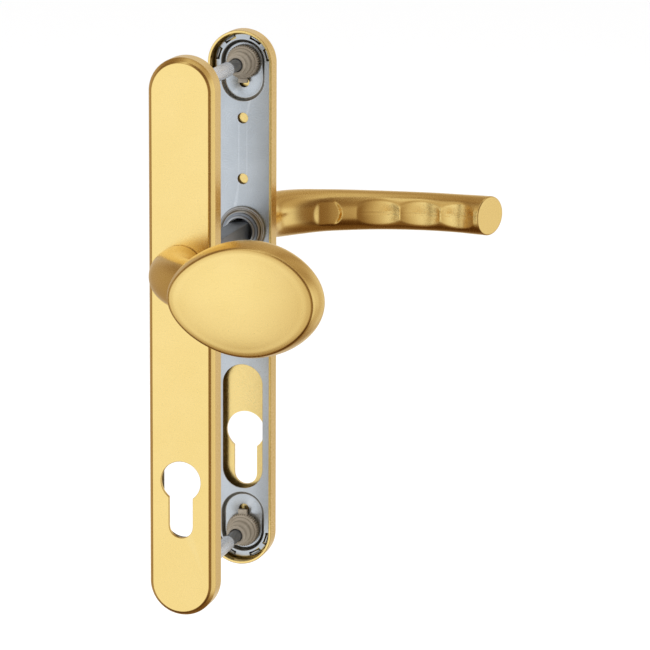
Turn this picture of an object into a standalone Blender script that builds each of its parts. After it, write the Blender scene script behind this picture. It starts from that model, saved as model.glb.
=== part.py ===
"""Door handle set for a euro-profile lock: a fixed knob outside and a lever inside.

World frame, in metres: +Z up, X across the plates, Y through the door. The origin is on the
spindle's axis, in the middle of the door leaf. The knob plate is at -Y, the lever plate at +Y.

Each plate is modelled in its own side frame: x across, y up from the spindle's axis, and z
outwards from the door's surface. The inside frame is the outside one turned half round.
"""
import math

import bmesh
import bpy
from mathutils import Vector

MM = 0.001

# Driving sizes
DOOR_THICKNESS = 77.0 * MM
PLATE_LENGTH = 240.0 * MM
PLATE_WIDTH = 29.0 * MM
PLATE_DEPTH = 11.3 * MM
PLATE_TOP = 88.8 * MM          # the plate's top above the spindle's axis
LOCK_CENTRES = 92.0 * MM       # spindle to the centre of the lock cylinder
BOLT_CENTRES = 211.0 * MM
COVER_WALL = 1.2 * MM
COVER_FACE = 1.6 * MM
SHEET = 1.2 * MM               # thickness of the pressed base plates
WEB_DEPTH = 5.0 * MM           # how far the base plate's web lies inside the rim
GAP = 0.3 * MM                 # between pieces that rest on each other

# the cover's rim, from its side to its face: how far in from the side, and how far below the face
COVER_RIM = ((0.0, 3.2 * MM), (0.3 * MM, 2.9 * MM), (0.55 * MM, 1.6 * MM), (1.4 * MM, 0.75 * MM),
             (1.9 * MM, 0.65 * MM), (2.1 * MM, 0.0))
# the pan's bent edge, from its wall to its web: how far in from the wall, and how far behind the web
PAN_BEND = ((0.0, 2.0 * MM), (0.5 * MM, 0.7 * MM), (1.8 * MM, 0.0))

EURO_DIAMETER = 17.5 * MM
EURO_SLOT = 10.5 * MM
EURO_HEIGHT = 33.5 * MM
WINDOW_MARGIN = 0.4 * MM       # base plate's window past the sides of the euro cut-out
WINDOW_ABOVE = 31.0 * MM       # window's top above the cylinder's centre
WINDOW_BELOW_SLOT = 0.8 * MM

SPINDLE_SIDE = 8.0 * MM
SPINDLE_PLAY = 0.35 * MM       # all round, inside a square bore
SPINDLE_BEVEL = 0.3 * MM
SPINDLE_IN_LEVER = 19.0 * MM   # past the face of the inside plate
SPINDLE_SHORT_OF_OUTSIDE = 12.0 * MM

BOLT_DIAMETER = 5.4 * MM
BOLT_TIP_DIAMETER = 4.0 * MM
BOLT_TIP_LENGTH = 10.0 * MM
BOLT_HEAD_DIAMETER = 9.2 * MM
BOLT_HEAD_HEIGHT = 2.3 * MM
BOLT_HEAD_RIM = 0.2 * MM       # upright edge of the countersunk head
BOLT_HEAD_SUNK = 0.1 * MM      # top of the head below the plate's face
BOLT_CHAMFER = 0.6 * MM
DRIVE_SLOT_LENGTH = 5.0 * MM
DRIVE_SLOT_WIDTH = 1.0 * MM
DRIVE_SLOT_DEPTH = 1.1 * MM
BOLT_EXPOSED = 18.0 * MM       # from the inside door surface to the sleeve's end
SLEEVE_DIAMETER = 6.4 * MM
SLEEVE_FLANGE_RADIUS = 5.8 * MM
SLEEVE_FLANGE = 0.9 * MM
SLEEVE_CHAMFER = 0.4 * MM

POCKET_RADIUS = 9.9 * MM
POCKET_LENGTH = 27.4 * MM
POCKET_DEPTH = 2.0 * MM
BUSH_RADIUS = 7.5 * MM
BUSH_NOSE = 6.0 * MM           # how far a bush reaches into the door
BUSH_WALL = 1.3 * MM
BUSH_COLLAR = 2.0 * MM         # collar past the nose's radius, and the collar's length
BUSH_STEP = 0.9 * MM           # second step past the nose's radius
BUSH_CHAMFER = 0.4 * MM
KNURL_PROUD = 1.5 * MM         # knurled flange past the web
KNURL_DEPTH = 0.45 * MM
KNURL_RIDGES = 18
NOTCH_RADIUS = 2.3 * MM
NOTCH_OFFSET = 9.2 * MM        # from the bolt's axis towards the plate's middle
TAB_WIDTH = 4.0 * MM
TAB_SUNK = 1.0 * MM            # tab's face below the knurled flange
SPARE_HOLE_RADIUS = 2.35 * MM
SPARE_HOLES = (49.5 * MM, 22.5 * MM)   # above the spindle's axis
CLIP_ANGLES = (18.0, 60.0, 120.0, 162.0)
CLIP_WIDTH = 5.6 * MM
CLIP_SLOT = 1.5 * MM
CLIP_LIP = 0.6 * MM             # metal left outside a clip slot

KNOB_NECK_RADIUS = 10.0 * MM
KNOB_HEAD_LENGTH = 66.2 * MM
KNOB_HEAD_HEIGHT = 48.0 * MM
KNOB_OFFSET = 44.9 * MM        # head's centre from the spindle's axis
KNOB_REACH = 66.2 * MM         # crown of the head in front of the plate's face
KNOB_THICKNESS = 20.0 * MM
KNOB_EGG_SKEW = 0.07           # height gained at the far end of the head, as a share
KNOB_EGG_PINCH = 0.10          # height lost at both ends, as a share
STUB_RADIUS = 5.0 * MM
STUB_IN_KNOB = 14.0 * MM
NUT_ACROSS_CORNERS = 17.3 * MM
NUT_HEIGHT = 3.1 * MM
WASHER_RADIUS = 8.5 * MM
WASHER_THICKNESS = 0.7 * MM
PIN_RADIUS = 1.2 * MM
PIN_OFFSET = 7.5 * MM
PIN_IN_KNOB = 5.0 * MM

LEVER_REACH = 101.0 * MM       # spindle's axis to the middle of the end face
LEVER_PROJECTION = 59.3 * MM   # furthest centre line of the grip from the plate's face
LEVER_NECK_RADIUS = 9.3 * MM
LEVER_GRIP_RADIUS = 8.55 * MM
LEVER_END_RADIUS = 8.8 * MM
BEARING_WALL = 0.8 * MM
BEARING_FLANGE = 0.8 * MM
BEARING_FLANGE_RADIUS = 10.4 * MM
LEVER_SPIGOT_RADIUS = 7.8 * MM
GRUB_RADIUS = 2.0 * MM
GRUB_HEIGHT = 8.0 * MM         # in front of the plate's face
GRUB_SUNK = 0.5 * MM           # screw's end below the neck's surface

HUB_RADIUS = 6.9 * MM
HUB_PROUD = 0.9 * MM           # hub's nose past the rim, into the door
HUB_WALL = 1.05 * MM           # round the recess in the hub's nose
HUB_RECESS_DEPTH = 3.4 * MM
HUB_GROOVE_DEPTH = 0.7 * MM
RING_THICKNESS = 0.6 * MM      # retaining ring, in the hub's groove
RING_PROUD = 1.1 * MM          # retaining ring past the hub's side
RING_MOUTH = 3.0 * MM
THRUST_WASHER_WIDTH = 0.9 * MM
THRUST_WASHER_THICKNESS = 0.4 * MM
HOUSING_WALL = 1.3 * MM        # round the hub
HOUSING_FLANGE_WIDTH = 1.9 * MM
HOUSING_FLANGE_THICKNESS = 1.3 * MM
HOUSING_STEP = 0.5 * MM        # boss on the door side, past the wall
HOUSING_FRONT = 1.6 * MM       # boss's face, behind the door's surface
HOUSING_CHAMFER = 0.8 * MM
SPRING_WIRE_RADIUS = 0.5 * MM
SPRING_CLEARANCE = 0.6 * MM    # between the coil and the housing's wall
SPRING_TURNS = 1.9
SPRING_PITCH = 1.3 * MM

# Sizes that follow
PLATE_MIDDLE = PLATE_TOP - PLATE_LENGTH / 2
HALF_WIDTH = PLATE_WIDTH / 2
HALF_LENGTH = PLATE_LENGTH / 2
BOLT_HEIGHTS = {"upper": PLATE_MIDDLE + BOLT_CENTRES / 2, "lower": PLATE_MIDDLE - BOLT_CENTRES / 2}
EURO_RADIUS = EURO_DIAMETER / 2
CAVITY_HALF_WIDTH = HALF_WIDTH - COVER_WALL
CAVITY_HALF_LENGTH = HALF_LENGTH - COVER_WALL
CAVITY_FLOOR = PLATE_DEPTH - COVER_FACE
PAN_HALF_WIDTH = CAVITY_HALF_WIDTH - GAP
PAN_HALF_LENGTH = CAVITY_HALF_LENGTH - GAP
PAN_BACK = CAVITY_FLOOR - GAP
WEB_BACK = WEB_DEPTH + SHEET
POCKET_FLOOR = WEB_DEPTH + POCKET_DEPTH
POCKET_BACK = POCKET_FLOOR + SHEET
BOLT_RADIUS = BOLT_DIAMETER / 2
SLEEVE_RADIUS = SLEEVE_DIAMETER / 2
HOUSING_RADIUS = HUB_RADIUS + GAP + HOUSING_WALL
CUT = 3.0 * MM                 # how far a cutter runs past what it cuts

PLATE_POINTS = 32
ROUND_STEPS = 28


# ---------------------------------------------------------------- scene and helpers

def clear_scene():
    """Remove every object, so that the script starts from nothing."""
    for thing in list(bpy.data.objects):
        bpy.data.objects.remove(thing, do_unlink=True)


def add_collection(name):
    """Return a new collection linked to the scene."""
    collection = bpy.data.collections.new(name)
    bpy.context.scene.collection.children.link(collection)
    return collection


def make_material(name, colour, roughness, metallic):
    """Return a Principled material of one finish."""
    material = bpy.data.materials.new(name)
    material.use_nodes = True
    shader = material.node_tree.nodes["Principled BSDF"]
    shader.inputs["Base Color"].default_value = (*colour, 1.0)
    shader.inputs["Roughness"].default_value = roughness
    shader.inputs["Metallic"].default_value = metallic
    return material


def add_frame(name, location, rotation_degrees, parent=None):
    """Return an empty that stands for a frame of the object."""
    empty = bpy.data.objects.new(name, None)
    empty.location = location
    empty.rotation_euler = [math.radians(angle) for angle in rotation_degrees]
    empty.parent = parent
    PARTS.objects.link(empty)
    return empty


def add_piece(name, mesh, frame, material, location=(0.0, 0.0, 0.0)):
    """Link a mesh as a named sub-part in one frame."""
    piece = bpy.data.objects.new(name, mesh)
    mesh.materials.append(material)
    mesh.shade_smooth()
    mesh.set_sharp_from_angle(angle=math.radians(30))
    piece.parent = frame
    piece.location = location
    PARTS.objects.link(piece)
    return piece


def add_cutter(name, mesh, frame, location=(0.0, 0.0, 0.0)):
    """Link a mesh as a tool for Booleans, left out of the object."""
    cutter = bpy.data.objects.new(name, mesh)
    cutter.parent = frame
    cutter.location = location
    cutter.hide_render = True
    cutter.display_type = "WIRE"
    CUTTERS.objects.link(cutter)
    return cutter


def boolean(piece, tool, operation="DIFFERENCE"):
    """Cut a tool from a piece, or join it to the piece."""
    modifier = piece.modifiers.new(tool.name, "BOOLEAN")
    modifier.operation = operation
    modifier.solver = "EXACT"
    modifier.object = tool


def finished_mesh(bm, name):
    """Turn a bmesh into a mesh with outward faces."""
    bmesh.ops.recalc_face_normals(bm, faces=bm.faces)
    mesh = bpy.data.meshes.new(name)
    bm.to_mesh(mesh)
    bm.free()
    return mesh


def cylinder_mesh(name, radius, low, high, steps=ROUND_STEPS, top_radius=None):
    """Return a closed cylinder or cone on the z axis."""
    bm = bmesh.new()
    bmesh.ops.create_cone(bm, cap_ends=True, segments=steps, radius1=radius,
                          radius2=radius if top_radius is None else top_radius, depth=high - low)
    bmesh.ops.translate(bm, verts=bm.verts, vec=(0.0, 0.0, (low + high) / 2))
    return finished_mesh(bm, name)


def box_mesh(name, size, low, high, bevel=0.0):
    """Return a box that is size wide in x and y and runs from low to high in z."""
    bm = bmesh.new()
    bmesh.ops.create_cube(bm, size=1.0)
    bmesh.ops.scale(bm, verts=bm.verts, vec=(size[0], size[1], high - low))
    bmesh.ops.translate(bm, verts=bm.verts, vec=(0.0, 0.0, (low + high) / 2))
    if bevel:
        bmesh.ops.bevel(bm, geom=bm.edges, offset=bevel, segments=1, profile=0.5, affect="EDGES")
    return finished_mesh(bm, name)


def stadium(half_width, half_length, middle, height, points=PLATE_POINTS):
    """Return the points of an upright outline with round ends, full size across its flats."""
    straight = half_length - half_width
    radius = half_width / math.cos(math.pi / points)
    ring = []
    for step in range(points):
        angle = 2 * math.pi * (step + 0.5) / points
        x = radius * math.cos(angle)
        y = radius * math.sin(angle) + math.copysign(straight, math.sin(angle))
        ring.append(Vector((x, middle + y, height)))
    return ring


def stacked_mesh(name, rings):
    """Return a closed solid through outlines with equal point counts, one above the other."""
    bm = bmesh.new()
    floor = bm.faces.new([bm.verts.new(point) for point in rings[0]])
    top = floor
    for ring, next_ring in zip(rings, rings[1:]):
        index_at = {tuple(point): index for index, point in enumerate(ring)}
        grown = bmesh.ops.extrude_face_region(bm, geom=[top])["geom"]
        if top is not floor:
            bmesh.ops.delete(bm, geom=[top], context="FACES_ONLY")
        top = next(item for item in grown if isinstance(item, bmesh.types.BMFace))
        for vert in top.verts:
            vert.co = next_ring[index_at[tuple(vert.co)]]
    return finished_mesh(bm, name)


def turned(name, profile, frame, material, location=(0.0, 0.0, 0.0), steps=ROUND_STEPS):
    """Return a piece turned about z from (radius, height) points.

    The points run down the outer side. A profile that starts and ends on the axis makes a solid,
    and any other makes a ring.
    """
    mesh = bpy.data.meshes.new(name)
    solid = profile[0][0] == 0.0
    count = len(profile)
    edges = [(index, index + 1) for index in range(count - 1)]
    if not solid:
        edges.append((count - 1, 0))
    mesh.from_pydata([(radius, 0.0, height) for radius, height in profile], edges, [])
    piece = add_piece(name, mesh, frame, material, location)
    screw = piece.modifiers.new("turn", "SCREW")
    screw.steps = steps
    screw.render_steps = steps
    screw.use_merge_vertices = True
    screw.merge_threshold = 0.00001
    return piece


def tube_mesh(name, stations, bevel_resolution, resolution=6):
    """Return a closed round bar through (x, z, radius) stations on a smooth curve."""
    curve = bpy.data.curves.new(name, "CURVE")
    curve.dimensions = "3D"
    curve.resolution_u = resolution
    curve.bevel_depth = 1.0
    curve.bevel_resolution = bevel_resolution
    curve.use_fill_caps = True
    spline = curve.splines.new("BEZIER")
    spline.bezier_points.add(len(stations) - 1)
    for point, (x, z, radius) in zip(spline.bezier_points, stations):
        point.co = (x, 0.0, z)
        point.handle_left_type = "AUTO"
        point.handle_right_type = "AUTO"
        point.radius = radius
    return mesh_of_curve(curve, name)


def wire_mesh(name, points, radius):
    """Return a closed wire through points, with straight runs between them."""
    curve = bpy.data.curves.new(name, "CURVE")
    curve.dimensions = "3D"
    curve.bevel_depth = radius
    curve.bevel_resolution = 1
    curve.use_fill_caps = True
    spline = curve.splines.new("POLY")
    spline.points.add(len(points) - 1)
    for point, place in zip(spline.points, points):
        point.co = (*place, 1.0)
    return mesh_of_curve(curve, name)


def mesh_of_curve(curve, name):
    """Return a curve's solid as a mesh with its caps welded on."""
    holder = bpy.data.objects.new(name + "_curve", curve)
    bpy.context.scene.collection.objects.link(holder)
    bpy.context.view_layer.update()
    evaluated = holder.evaluated_get(bpy.context.evaluated_depsgraph_get())
    mesh = bpy.data.meshes.new_from_object(evaluated)
    bpy.data.objects.remove(holder, do_unlink=True)
    bm = bmesh.new()
    bm.from_mesh(mesh)
    bpy.data.meshes.remove(mesh)
    bmesh.ops.remove_doubles(bm, verts=bm.verts, dist=0.00001)
    return finished_mesh(bm, name)


# ---------------------------------------------------------------- plates

def euro_cutter(frame, side, low, high):
    """Return the cutter of the euro-profile opening: a circle over a narrower slot."""
    cutter = add_cutter(side + "_euro_circle_cut", cylinder_mesh("euro", EURO_RADIUS, low, high),
                        frame, (0.0, -LOCK_CENTRES, 0.0))
    slot_half = EURO_SLOT / 2
    slot_length = EURO_HEIGHT - EURO_RADIUS
    rings = [stadium(slot_half, slot_length / 2, -slot_length / 2, height, 16) for height in (low, high)]
    slot = add_cutter(side + "_euro_slot_cut", stacked_mesh("slot", rings), frame,
                      (0.0, -LOCK_CENTRES, 0.0))
    boolean(cutter, slot, "UNION")
    return cutter


def cover_plate(frame, side, material):
    """Return the thin outer shell of one plate, with its stepped rim and hollow back."""
    rings = [stadium(HALF_WIDTH - inset, HALF_LENGTH - inset, PLATE_MIDDLE, PLATE_DEPTH - below)
             for inset, below in ((0.0, PLATE_DEPTH), *COVER_RIM)]
    cover = add_piece(side + "_cover_plate", stacked_mesh("cover", rings), frame, material)
    hollow = [stadium(CAVITY_HALF_WIDTH, CAVITY_HALF_LENGTH, PLATE_MIDDLE, height)
              for height in (-CUT, CAVITY_FLOOR)]
    boolean(cover, add_cutter(side + "_hollow_cut", stacked_mesh("hollow", hollow), frame))
    boolean(cover, euro_cutter(frame, side + "_cover", CAVITY_FLOOR - CUT, PLATE_DEPTH + CUT))
    return cover


def base_plate(frame, side, material, hub_hole_radius, bolt_hole_radius):
    """Return the pressed steel pan that fills the cover, with its window, pockets and slots."""
    rings = [stadium(PAN_HALF_WIDTH - inset, PAN_HALF_LENGTH - inset, PLATE_MIDDLE, WEB_DEPTH + behind)
             for inset, behind in ((0.0, PAN_BACK - WEB_DEPTH), *PAN_BEND)]
    pan = add_piece(side + "_base_plate", stacked_mesh("pan", rings), frame, material)
    inner = [stadium(PAN_HALF_WIDTH - SHEET, PAN_HALF_LENGTH - SHEET, PLATE_MIDDLE, height)
             for height in (WEB_BACK, PAN_BACK + CUT)]
    boolean(pan, add_cutter(side + "_pan_cut", stacked_mesh("pan_inner", inner), frame))
    for end, bolt_height in BOLT_HEIGHTS.items():
        bolt_pocket(frame, side, pan, end, bolt_height, bolt_hole_radius)
    hub_hole = cylinder_mesh("hub_hole", hub_hole_radius, WEB_DEPTH - CUT, WEB_BACK + CUT)
    boolean(pan, add_cutter(side + "_hub_hole_cut", hub_hole, frame))
    window_bottom = EURO_RADIUS - EURO_HEIGHT - WINDOW_BELOW_SLOT
    half_length = (WINDOW_ABOVE - window_bottom) / 2
    window = [stadium(EURO_RADIUS + WINDOW_MARGIN, half_length, window_bottom + half_length, height, 24)
              for height in (WEB_DEPTH - CUT, WEB_BACK + CUT)]
    boolean(pan, add_cutter(side + "_window_cut", stacked_mesh("window", window), frame,
                            (0.0, -LOCK_CENTRES, 0.0)))
    for number, height in enumerate(SPARE_HOLES):
        hole = cylinder_mesh("spare_hole", SPARE_HOLE_RADIUS, WEB_DEPTH - CUT, WEB_BACK + CUT, 16)
        boolean(pan, add_cutter(f"{side}_spare_hole_cut_{number}", hole, frame, (0.0, height, 0.0)))
    clip_slots(frame, side, pan)
    return pan


def bolt_pocket(frame, side, pan, end, bolt_height, bolt_hole_radius):
    """Press a pocket into the pan round one bolt, with the bolt's hole and the key notch."""
    name = f"{side}_{end}"
    inwards = -1.0 if end == "upper" else 1.0
    middle = inwards * (POCKET_LENGTH / 2 - POCKET_RADIUS)
    place = (0.0, bolt_height, 0.0)

    def ring(radius_extra, height):
        return stadium(POCKET_RADIUS + radius_extra, POCKET_LENGTH / 2 + radius_extra, middle, height, 24)

    cup = [ring(SHEET, WEB_DEPTH + SHEET / 2), ring(SHEET, POCKET_BACK)]
    boolean(pan, add_cutter(name + "_cup", stacked_mesh("cup", cup), frame, place), "UNION")
    hollow = [ring(0.0, WEB_DEPTH - CUT), ring(0.0, POCKET_FLOOR)]
    boolean(pan, add_cutter(name + "_pocket_cut", stacked_mesh("pocket", hollow), frame, place))
    hole = cylinder_mesh("bolt_hole", bolt_hole_radius, POCKET_FLOOR - CUT, POCKET_BACK + CUT, 20)
    boolean(pan, add_cutter(name + "_bolt_hole_cut", hole, frame, place))
    notch = cylinder_mesh("notch", NOTCH_RADIUS, POCKET_FLOOR - CUT, POCKET_BACK + CUT, 12)
    boolean(pan, add_cutter(name + "_notch_cut", notch, frame,
                            (0.0, bolt_height + inwards * NOTCH_OFFSET, 0.0)))


def clip_slots(frame, side, pan):
    """Cut the slots of the spring clips round both ends of the pan."""
    centre_distance = HALF_LENGTH - HALF_WIDTH
    radius = PAN_HALF_WIDTH - CLIP_LIP - CLIP_SLOT / 2
    for end, sign in (("upper", 1.0), ("lower", -1.0)):
        for number, degrees in enumerate(CLIP_ANGLES):
            angle = math.radians(degrees) * sign
            slot = box_mesh("clip_slot", (CLIP_SLOT, CLIP_WIDTH), WEB_DEPTH - CUT, WEB_DEPTH + CUT)
            place = (radius * math.cos(angle),
                     PLATE_MIDDLE + sign * centre_distance + radius * math.sin(angle), 0.0)
            cutter = add_cutter(f"{side}_{end}_clip_cut_{number}", slot, frame, place)
            cutter.rotation_euler = (0.0, 0.0, angle)
            boolean(pan, cutter)


# ---------------------------------------------------------------- bolt-through fixings

def bush(frame, name, material, end, bolt_height, bore_radius, back):
    """Return a moulded bush: knurled flange in the pocket, key tab, and a stepped nose."""
    nose_radius = bore_radius + BUSH_WALL
    knurl_front = WEB_DEPTH - KNURL_PROUD
    knurl_back = POCKET_FLOOR - GAP
    core_radius = BUSH_RADIUS - 2 * KNURL_DEPTH
    profile = [(0.0, back)]
    if back > knurl_back:
        profile += [(nose_radius, back), (nose_radius, knurl_back)]
    collar_end = knurl_front - BUSH_COLLAR
    profile += [(core_radius, knurl_back),
                (core_radius, knurl_front),
                (nose_radius + BUSH_COLLAR, knurl_front - BUSH_CHAMFER / 2),
                (nose_radius + BUSH_COLLAR, collar_end),
                (nose_radius + BUSH_STEP, collar_end - BUSH_CHAMFER),
                (nose_radius + BUSH_STEP, -BUSH_NOSE / 3),
                (nose_radius, -BUSH_NOSE / 2),
                (nose_radius, -BUSH_NOSE),
                (0.0, -BUSH_NOSE)]
    piece = turned(name, profile, frame, material, (0.0, bolt_height, 0.0), 16)
    points = 2 * KNURL_RIDGES
    rings = []
    for height in (knurl_front + BUSH_CHAMFER / 4, knurl_back - BUSH_CHAMFER / 4):
        ring = []
        for step in range(points):
            radius = BUSH_RADIUS - KNURL_DEPTH * (step % 2)
            angle = 2 * math.pi * step / points
            ring.append(Vector((radius * math.cos(angle), radius * math.sin(angle), height)))
        rings.append(ring)
    place = (0.0, bolt_height, 0.0)
    boolean(piece, add_cutter(name + "_knurl", stacked_mesh("knurl", rings), frame, place), "UNION")
    inwards = -1.0 if end == "upper" else 1.0
    tab = box_mesh("tab", (TAB_WIDTH, NOTCH_OFFSET), knurl_front + TAB_SUNK, knurl_back - BUSH_CHAMFER / 2)
    boolean(piece, add_cutter(name + "_tab", tab, frame,
                              (0.0, bolt_height + inwards * NOTCH_OFFSET / 2, 0.0)), "UNION")
    bore = cylinder_mesh("bore", bore_radius, -BUSH_NOSE - CUT, max(back, knurl_back) + CUT, 16)
    boolean(piece, add_cutter(name + "_bore_cut", bore, frame, place))
    return piece


def bolt_sleeve(frame, name, material, bolt_height):
    """Return a flanged sleeve of the outside plate, bored for the bolt's tip."""
    flange_top = POCKET_BACK + GAP + SLEEVE_FLANGE
    end = -(DOOR_THICKNESS - BOLT_EXPOSED)
    bore = BOLT_TIP_DIAMETER / 2 + GAP
    bottom = end + BOLT_TIP_LENGTH + CUT
    profile = [(0.0, flange_top), (SLEEVE_FLANGE_RADIUS, flange_top),
               (SLEEVE_FLANGE_RADIUS, POCKET_BACK + GAP), (SLEEVE_RADIUS, POCKET_BACK + GAP),
               (SLEEVE_RADIUS, end + SLEEVE_CHAMFER), (SLEEVE_RADIUS - SLEEVE_CHAMFER, end), (bore, end),
               (bore, bottom), (0.0, bottom)]
    return turned(name, profile, frame, material, (0.0, bolt_height, 0.0), 20)


def fixing_bolt(frame, name, material, bolt_height):
    """Return a countersunk shouldered bolt with a cross slot, in the inside plate."""
    head_top = PLATE_DEPTH - BOLT_HEAD_SUNK
    head_low = head_top - BOLT_HEAD_HEIGHT
    shoulder = -BOLT_EXPOSED + GAP
    tip = shoulder - BOLT_TIP_LENGTH
    profile = [(0.0, head_top), (BOLT_HEAD_DIAMETER / 2, head_top - BOLT_HEAD_RIM),
               (BOLT_RADIUS, head_low), (BOLT_RADIUS, shoulder),
               (BOLT_TIP_DIAMETER / 2, shoulder), (BOLT_TIP_DIAMETER / 2, tip + BOLT_CHAMFER),
               (BOLT_TIP_DIAMETER / 2 - BOLT_CHAMFER, tip), (0.0, tip)]
    place = (0.0, bolt_height, 0.0)
    bolt = turned(name, profile, frame, material, place, 20)
    sizes = ((DRIVE_SLOT_WIDTH, DRIVE_SLOT_LENGTH), (DRIVE_SLOT_LENGTH, DRIVE_SLOT_WIDTH))
    for number, size in enumerate(sizes):
        slot = box_mesh("drive_slot", size, head_top - DRIVE_SLOT_DEPTH, head_top + CUT)
        boolean(bolt, add_cutter(f"{name}_drive_cut_{number}", slot, frame, place))
    return bolt


def countersink(frame, cover, name, bolt_height):
    """Cut a bolt's hole and its countersink through the inside cover."""
    low = CAVITY_FLOOR - CUT
    place = (0.0, bolt_height, 0.0)
    hole = cylinder_mesh("hole", BOLT_RADIUS + 2 * GAP, low, PLATE_DEPTH + CUT, 20)
    boolean(cover, add_cutter(name + "_hole_cut", hole, frame, place))
    head_radius = BOLT_HEAD_DIAMETER / 2 + GAP
    slope = (BOLT_HEAD_DIAMETER / 2 - BOLT_RADIUS) / BOLT_HEAD_HEIGHT
    high = PLATE_DEPTH + CUT
    deep = PLATE_DEPTH - BOLT_HEAD_HEIGHT
    cone = cylinder_mesh("cone", head_radius + slope * (deep - PLATE_DEPTH), deep, high, 20,
                         head_radius + slope * (high - PLATE_DEPTH))
    boolean(cover, add_cutter(name + "_cone_cut", cone, frame, place))


# ---------------------------------------------------------------- knob

def egg(scale, height):
    """Return the knob head's outline: an oval that is slimmer towards the neck."""
    ring = []
    points = 32
    for step in range(points):
        angle = 2 * math.pi * step / points
        along, across = math.cos(angle), math.sin(angle)
        slimming = 1.0 + KNOB_EGG_SKEW * along - KNOB_EGG_PINCH * along ** 2
        x = KNOB_OFFSET + scale * KNOB_HEAD_LENGTH / 2 * along
        y = scale * KNOB_HEAD_HEIGHT / 2 * across * slimming
        ring.append(Vector((x, y, height)))
    return ring


def knob(frame, material):
    """Return the knob: a neck with an elbow, grown into an egg-shaped head."""
    crown = PLATE_DEPTH + KNOB_REACH
    # how far behind the crown, as a share of the thickness, and the outline's scale there
    levels = ((1.0, 0.35), (0.94, 0.64), (0.84, 0.85), (0.72, 0.96), (0.60, 1.0), (0.44, 0.995),
              (0.30, 0.97), (0.19, 0.92), (0.11, 0.82), (0.04, 0.58), (0.0, 0.28))
    rings = [egg(scale, crown - share * KNOB_THICKNESS) for share, scale in levels]
    neck_start = PLATE_DEPTH + GAP
    back = crown - KNOB_THICKNESS
    neck_rise = back - neck_start
    stations = ((0.0, neck_start, KNOB_NECK_RADIUS),
                (0.0, neck_start + 0.27 * neck_rise, KNOB_NECK_RADIUS),
                (0.06 * KNOB_OFFSET, neck_start + 0.53 * neck_rise, KNOB_NECK_RADIUS),
                (0.24 * KNOB_OFFSET, neck_start + 0.78 * neck_rise, 1.06 * KNOB_NECK_RADIUS),
                (0.52 * KNOB_OFFSET, back + 0.12 * KNOB_THICKNESS, 1.08 * KNOB_NECK_RADIUS),
                (0.80 * KNOB_OFFSET, back + 0.40 * KNOB_THICKNESS, 0.60 * KNOB_NECK_RADIUS))
    piece = add_piece("knob", tube_mesh("knob", stations, 4, 4), frame, material)
    head = add_cutter("knob_head", stacked_mesh("knob_head", rings), frame)
    boolean(piece, head, "UNION")
    bore = cylinder_mesh("stub_bore", STUB_RADIUS + GAP, neck_start - CUT,
                         PLATE_DEPTH + STUB_IN_KNOB + GAP, 20)
    boolean(piece, add_cutter("knob_stub_cut", bore, frame))
    pin_bore = cylinder_mesh("pin_bore", PIN_RADIUS + GAP, neck_start - CUT,
                             PLATE_DEPTH + PIN_IN_KNOB + GAP, 12)
    boolean(piece, add_cutter("knob_pin_cut", pin_bore, frame, (0.0, -PIN_OFFSET, 0.0)))
    return piece


def knob_fixings(frame, cover, material):
    """Add the stub, spacer, pin, washer and nut that hold the knob, and their holes in the cover."""
    hole_radius = STUB_RADIUS + GAP
    washer_high = WEB_DEPTH - GAP
    washer_low = washer_high - WASHER_THICKNESS
    nut_high = washer_low - GAP
    nut_low = nut_high - NUT_HEIGHT
    stub = cylinder_mesh("stub", STUB_RADIUS, nut_low + GAP, PLATE_DEPTH + STUB_IN_KNOB, 20)
    add_piece("knob_stub", stub, frame, material)
    spacer_radius = PIN_OFFSET + 2 * PIN_RADIUS
    spacer = turned("knob_spacer", ring_profile(spacer_radius, hole_radius, WEB_BACK + GAP, PAN_BACK),
                    frame, material, steps=24)
    pin_start = WEB_BACK + 2 * GAP
    pin = cylinder_mesh("pin", PIN_RADIUS, pin_start, PLATE_DEPTH + PIN_IN_KNOB, 12)
    add_piece("knob_locating_pin", pin, frame, material, (0.0, -PIN_OFFSET, 0.0))
    turned("knob_washer", ring_profile(WASHER_RADIUS, hole_radius, washer_low, washer_high), frame,
           material, steps=24)
    nut = add_piece("knob_nut", cylinder_mesh("nut", NUT_ACROSS_CORNERS / 2, nut_low, nut_high, 6),
                    frame, material)
    thread = cylinder_mesh("thread", hole_radius, nut_low - CUT, nut_high + CUT, 20)
    boolean(nut, add_cutter("knob_nut_cut", thread, frame))
    face_low = CAVITY_FLOOR - CUT
    stub_hole = cylinder_mesh("stub_hole", hole_radius, face_low, PLATE_DEPTH + CUT, 20)
    boolean(cover, add_cutter("outside_stub_hole_cut", stub_hole, frame))
    pin_hole = cylinder_mesh("pin_hole", PIN_RADIUS + GAP, WEB_BACK, PLATE_DEPTH + CUT, 12)
    pin_cutter = add_cutter("outside_pin_hole_cut", pin_hole, frame, (0.0, -PIN_OFFSET, 0.0))
    boolean(cover, pin_cutter)
    boolean(spacer, pin_cutter)


def ring_profile(outer, inner, low, high):
    """Return the profile of a plain ring."""
    return [(outer, high), (outer, low), (inner, low), (inner, high)]


# ---------------------------------------------------------------- lever side

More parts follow.
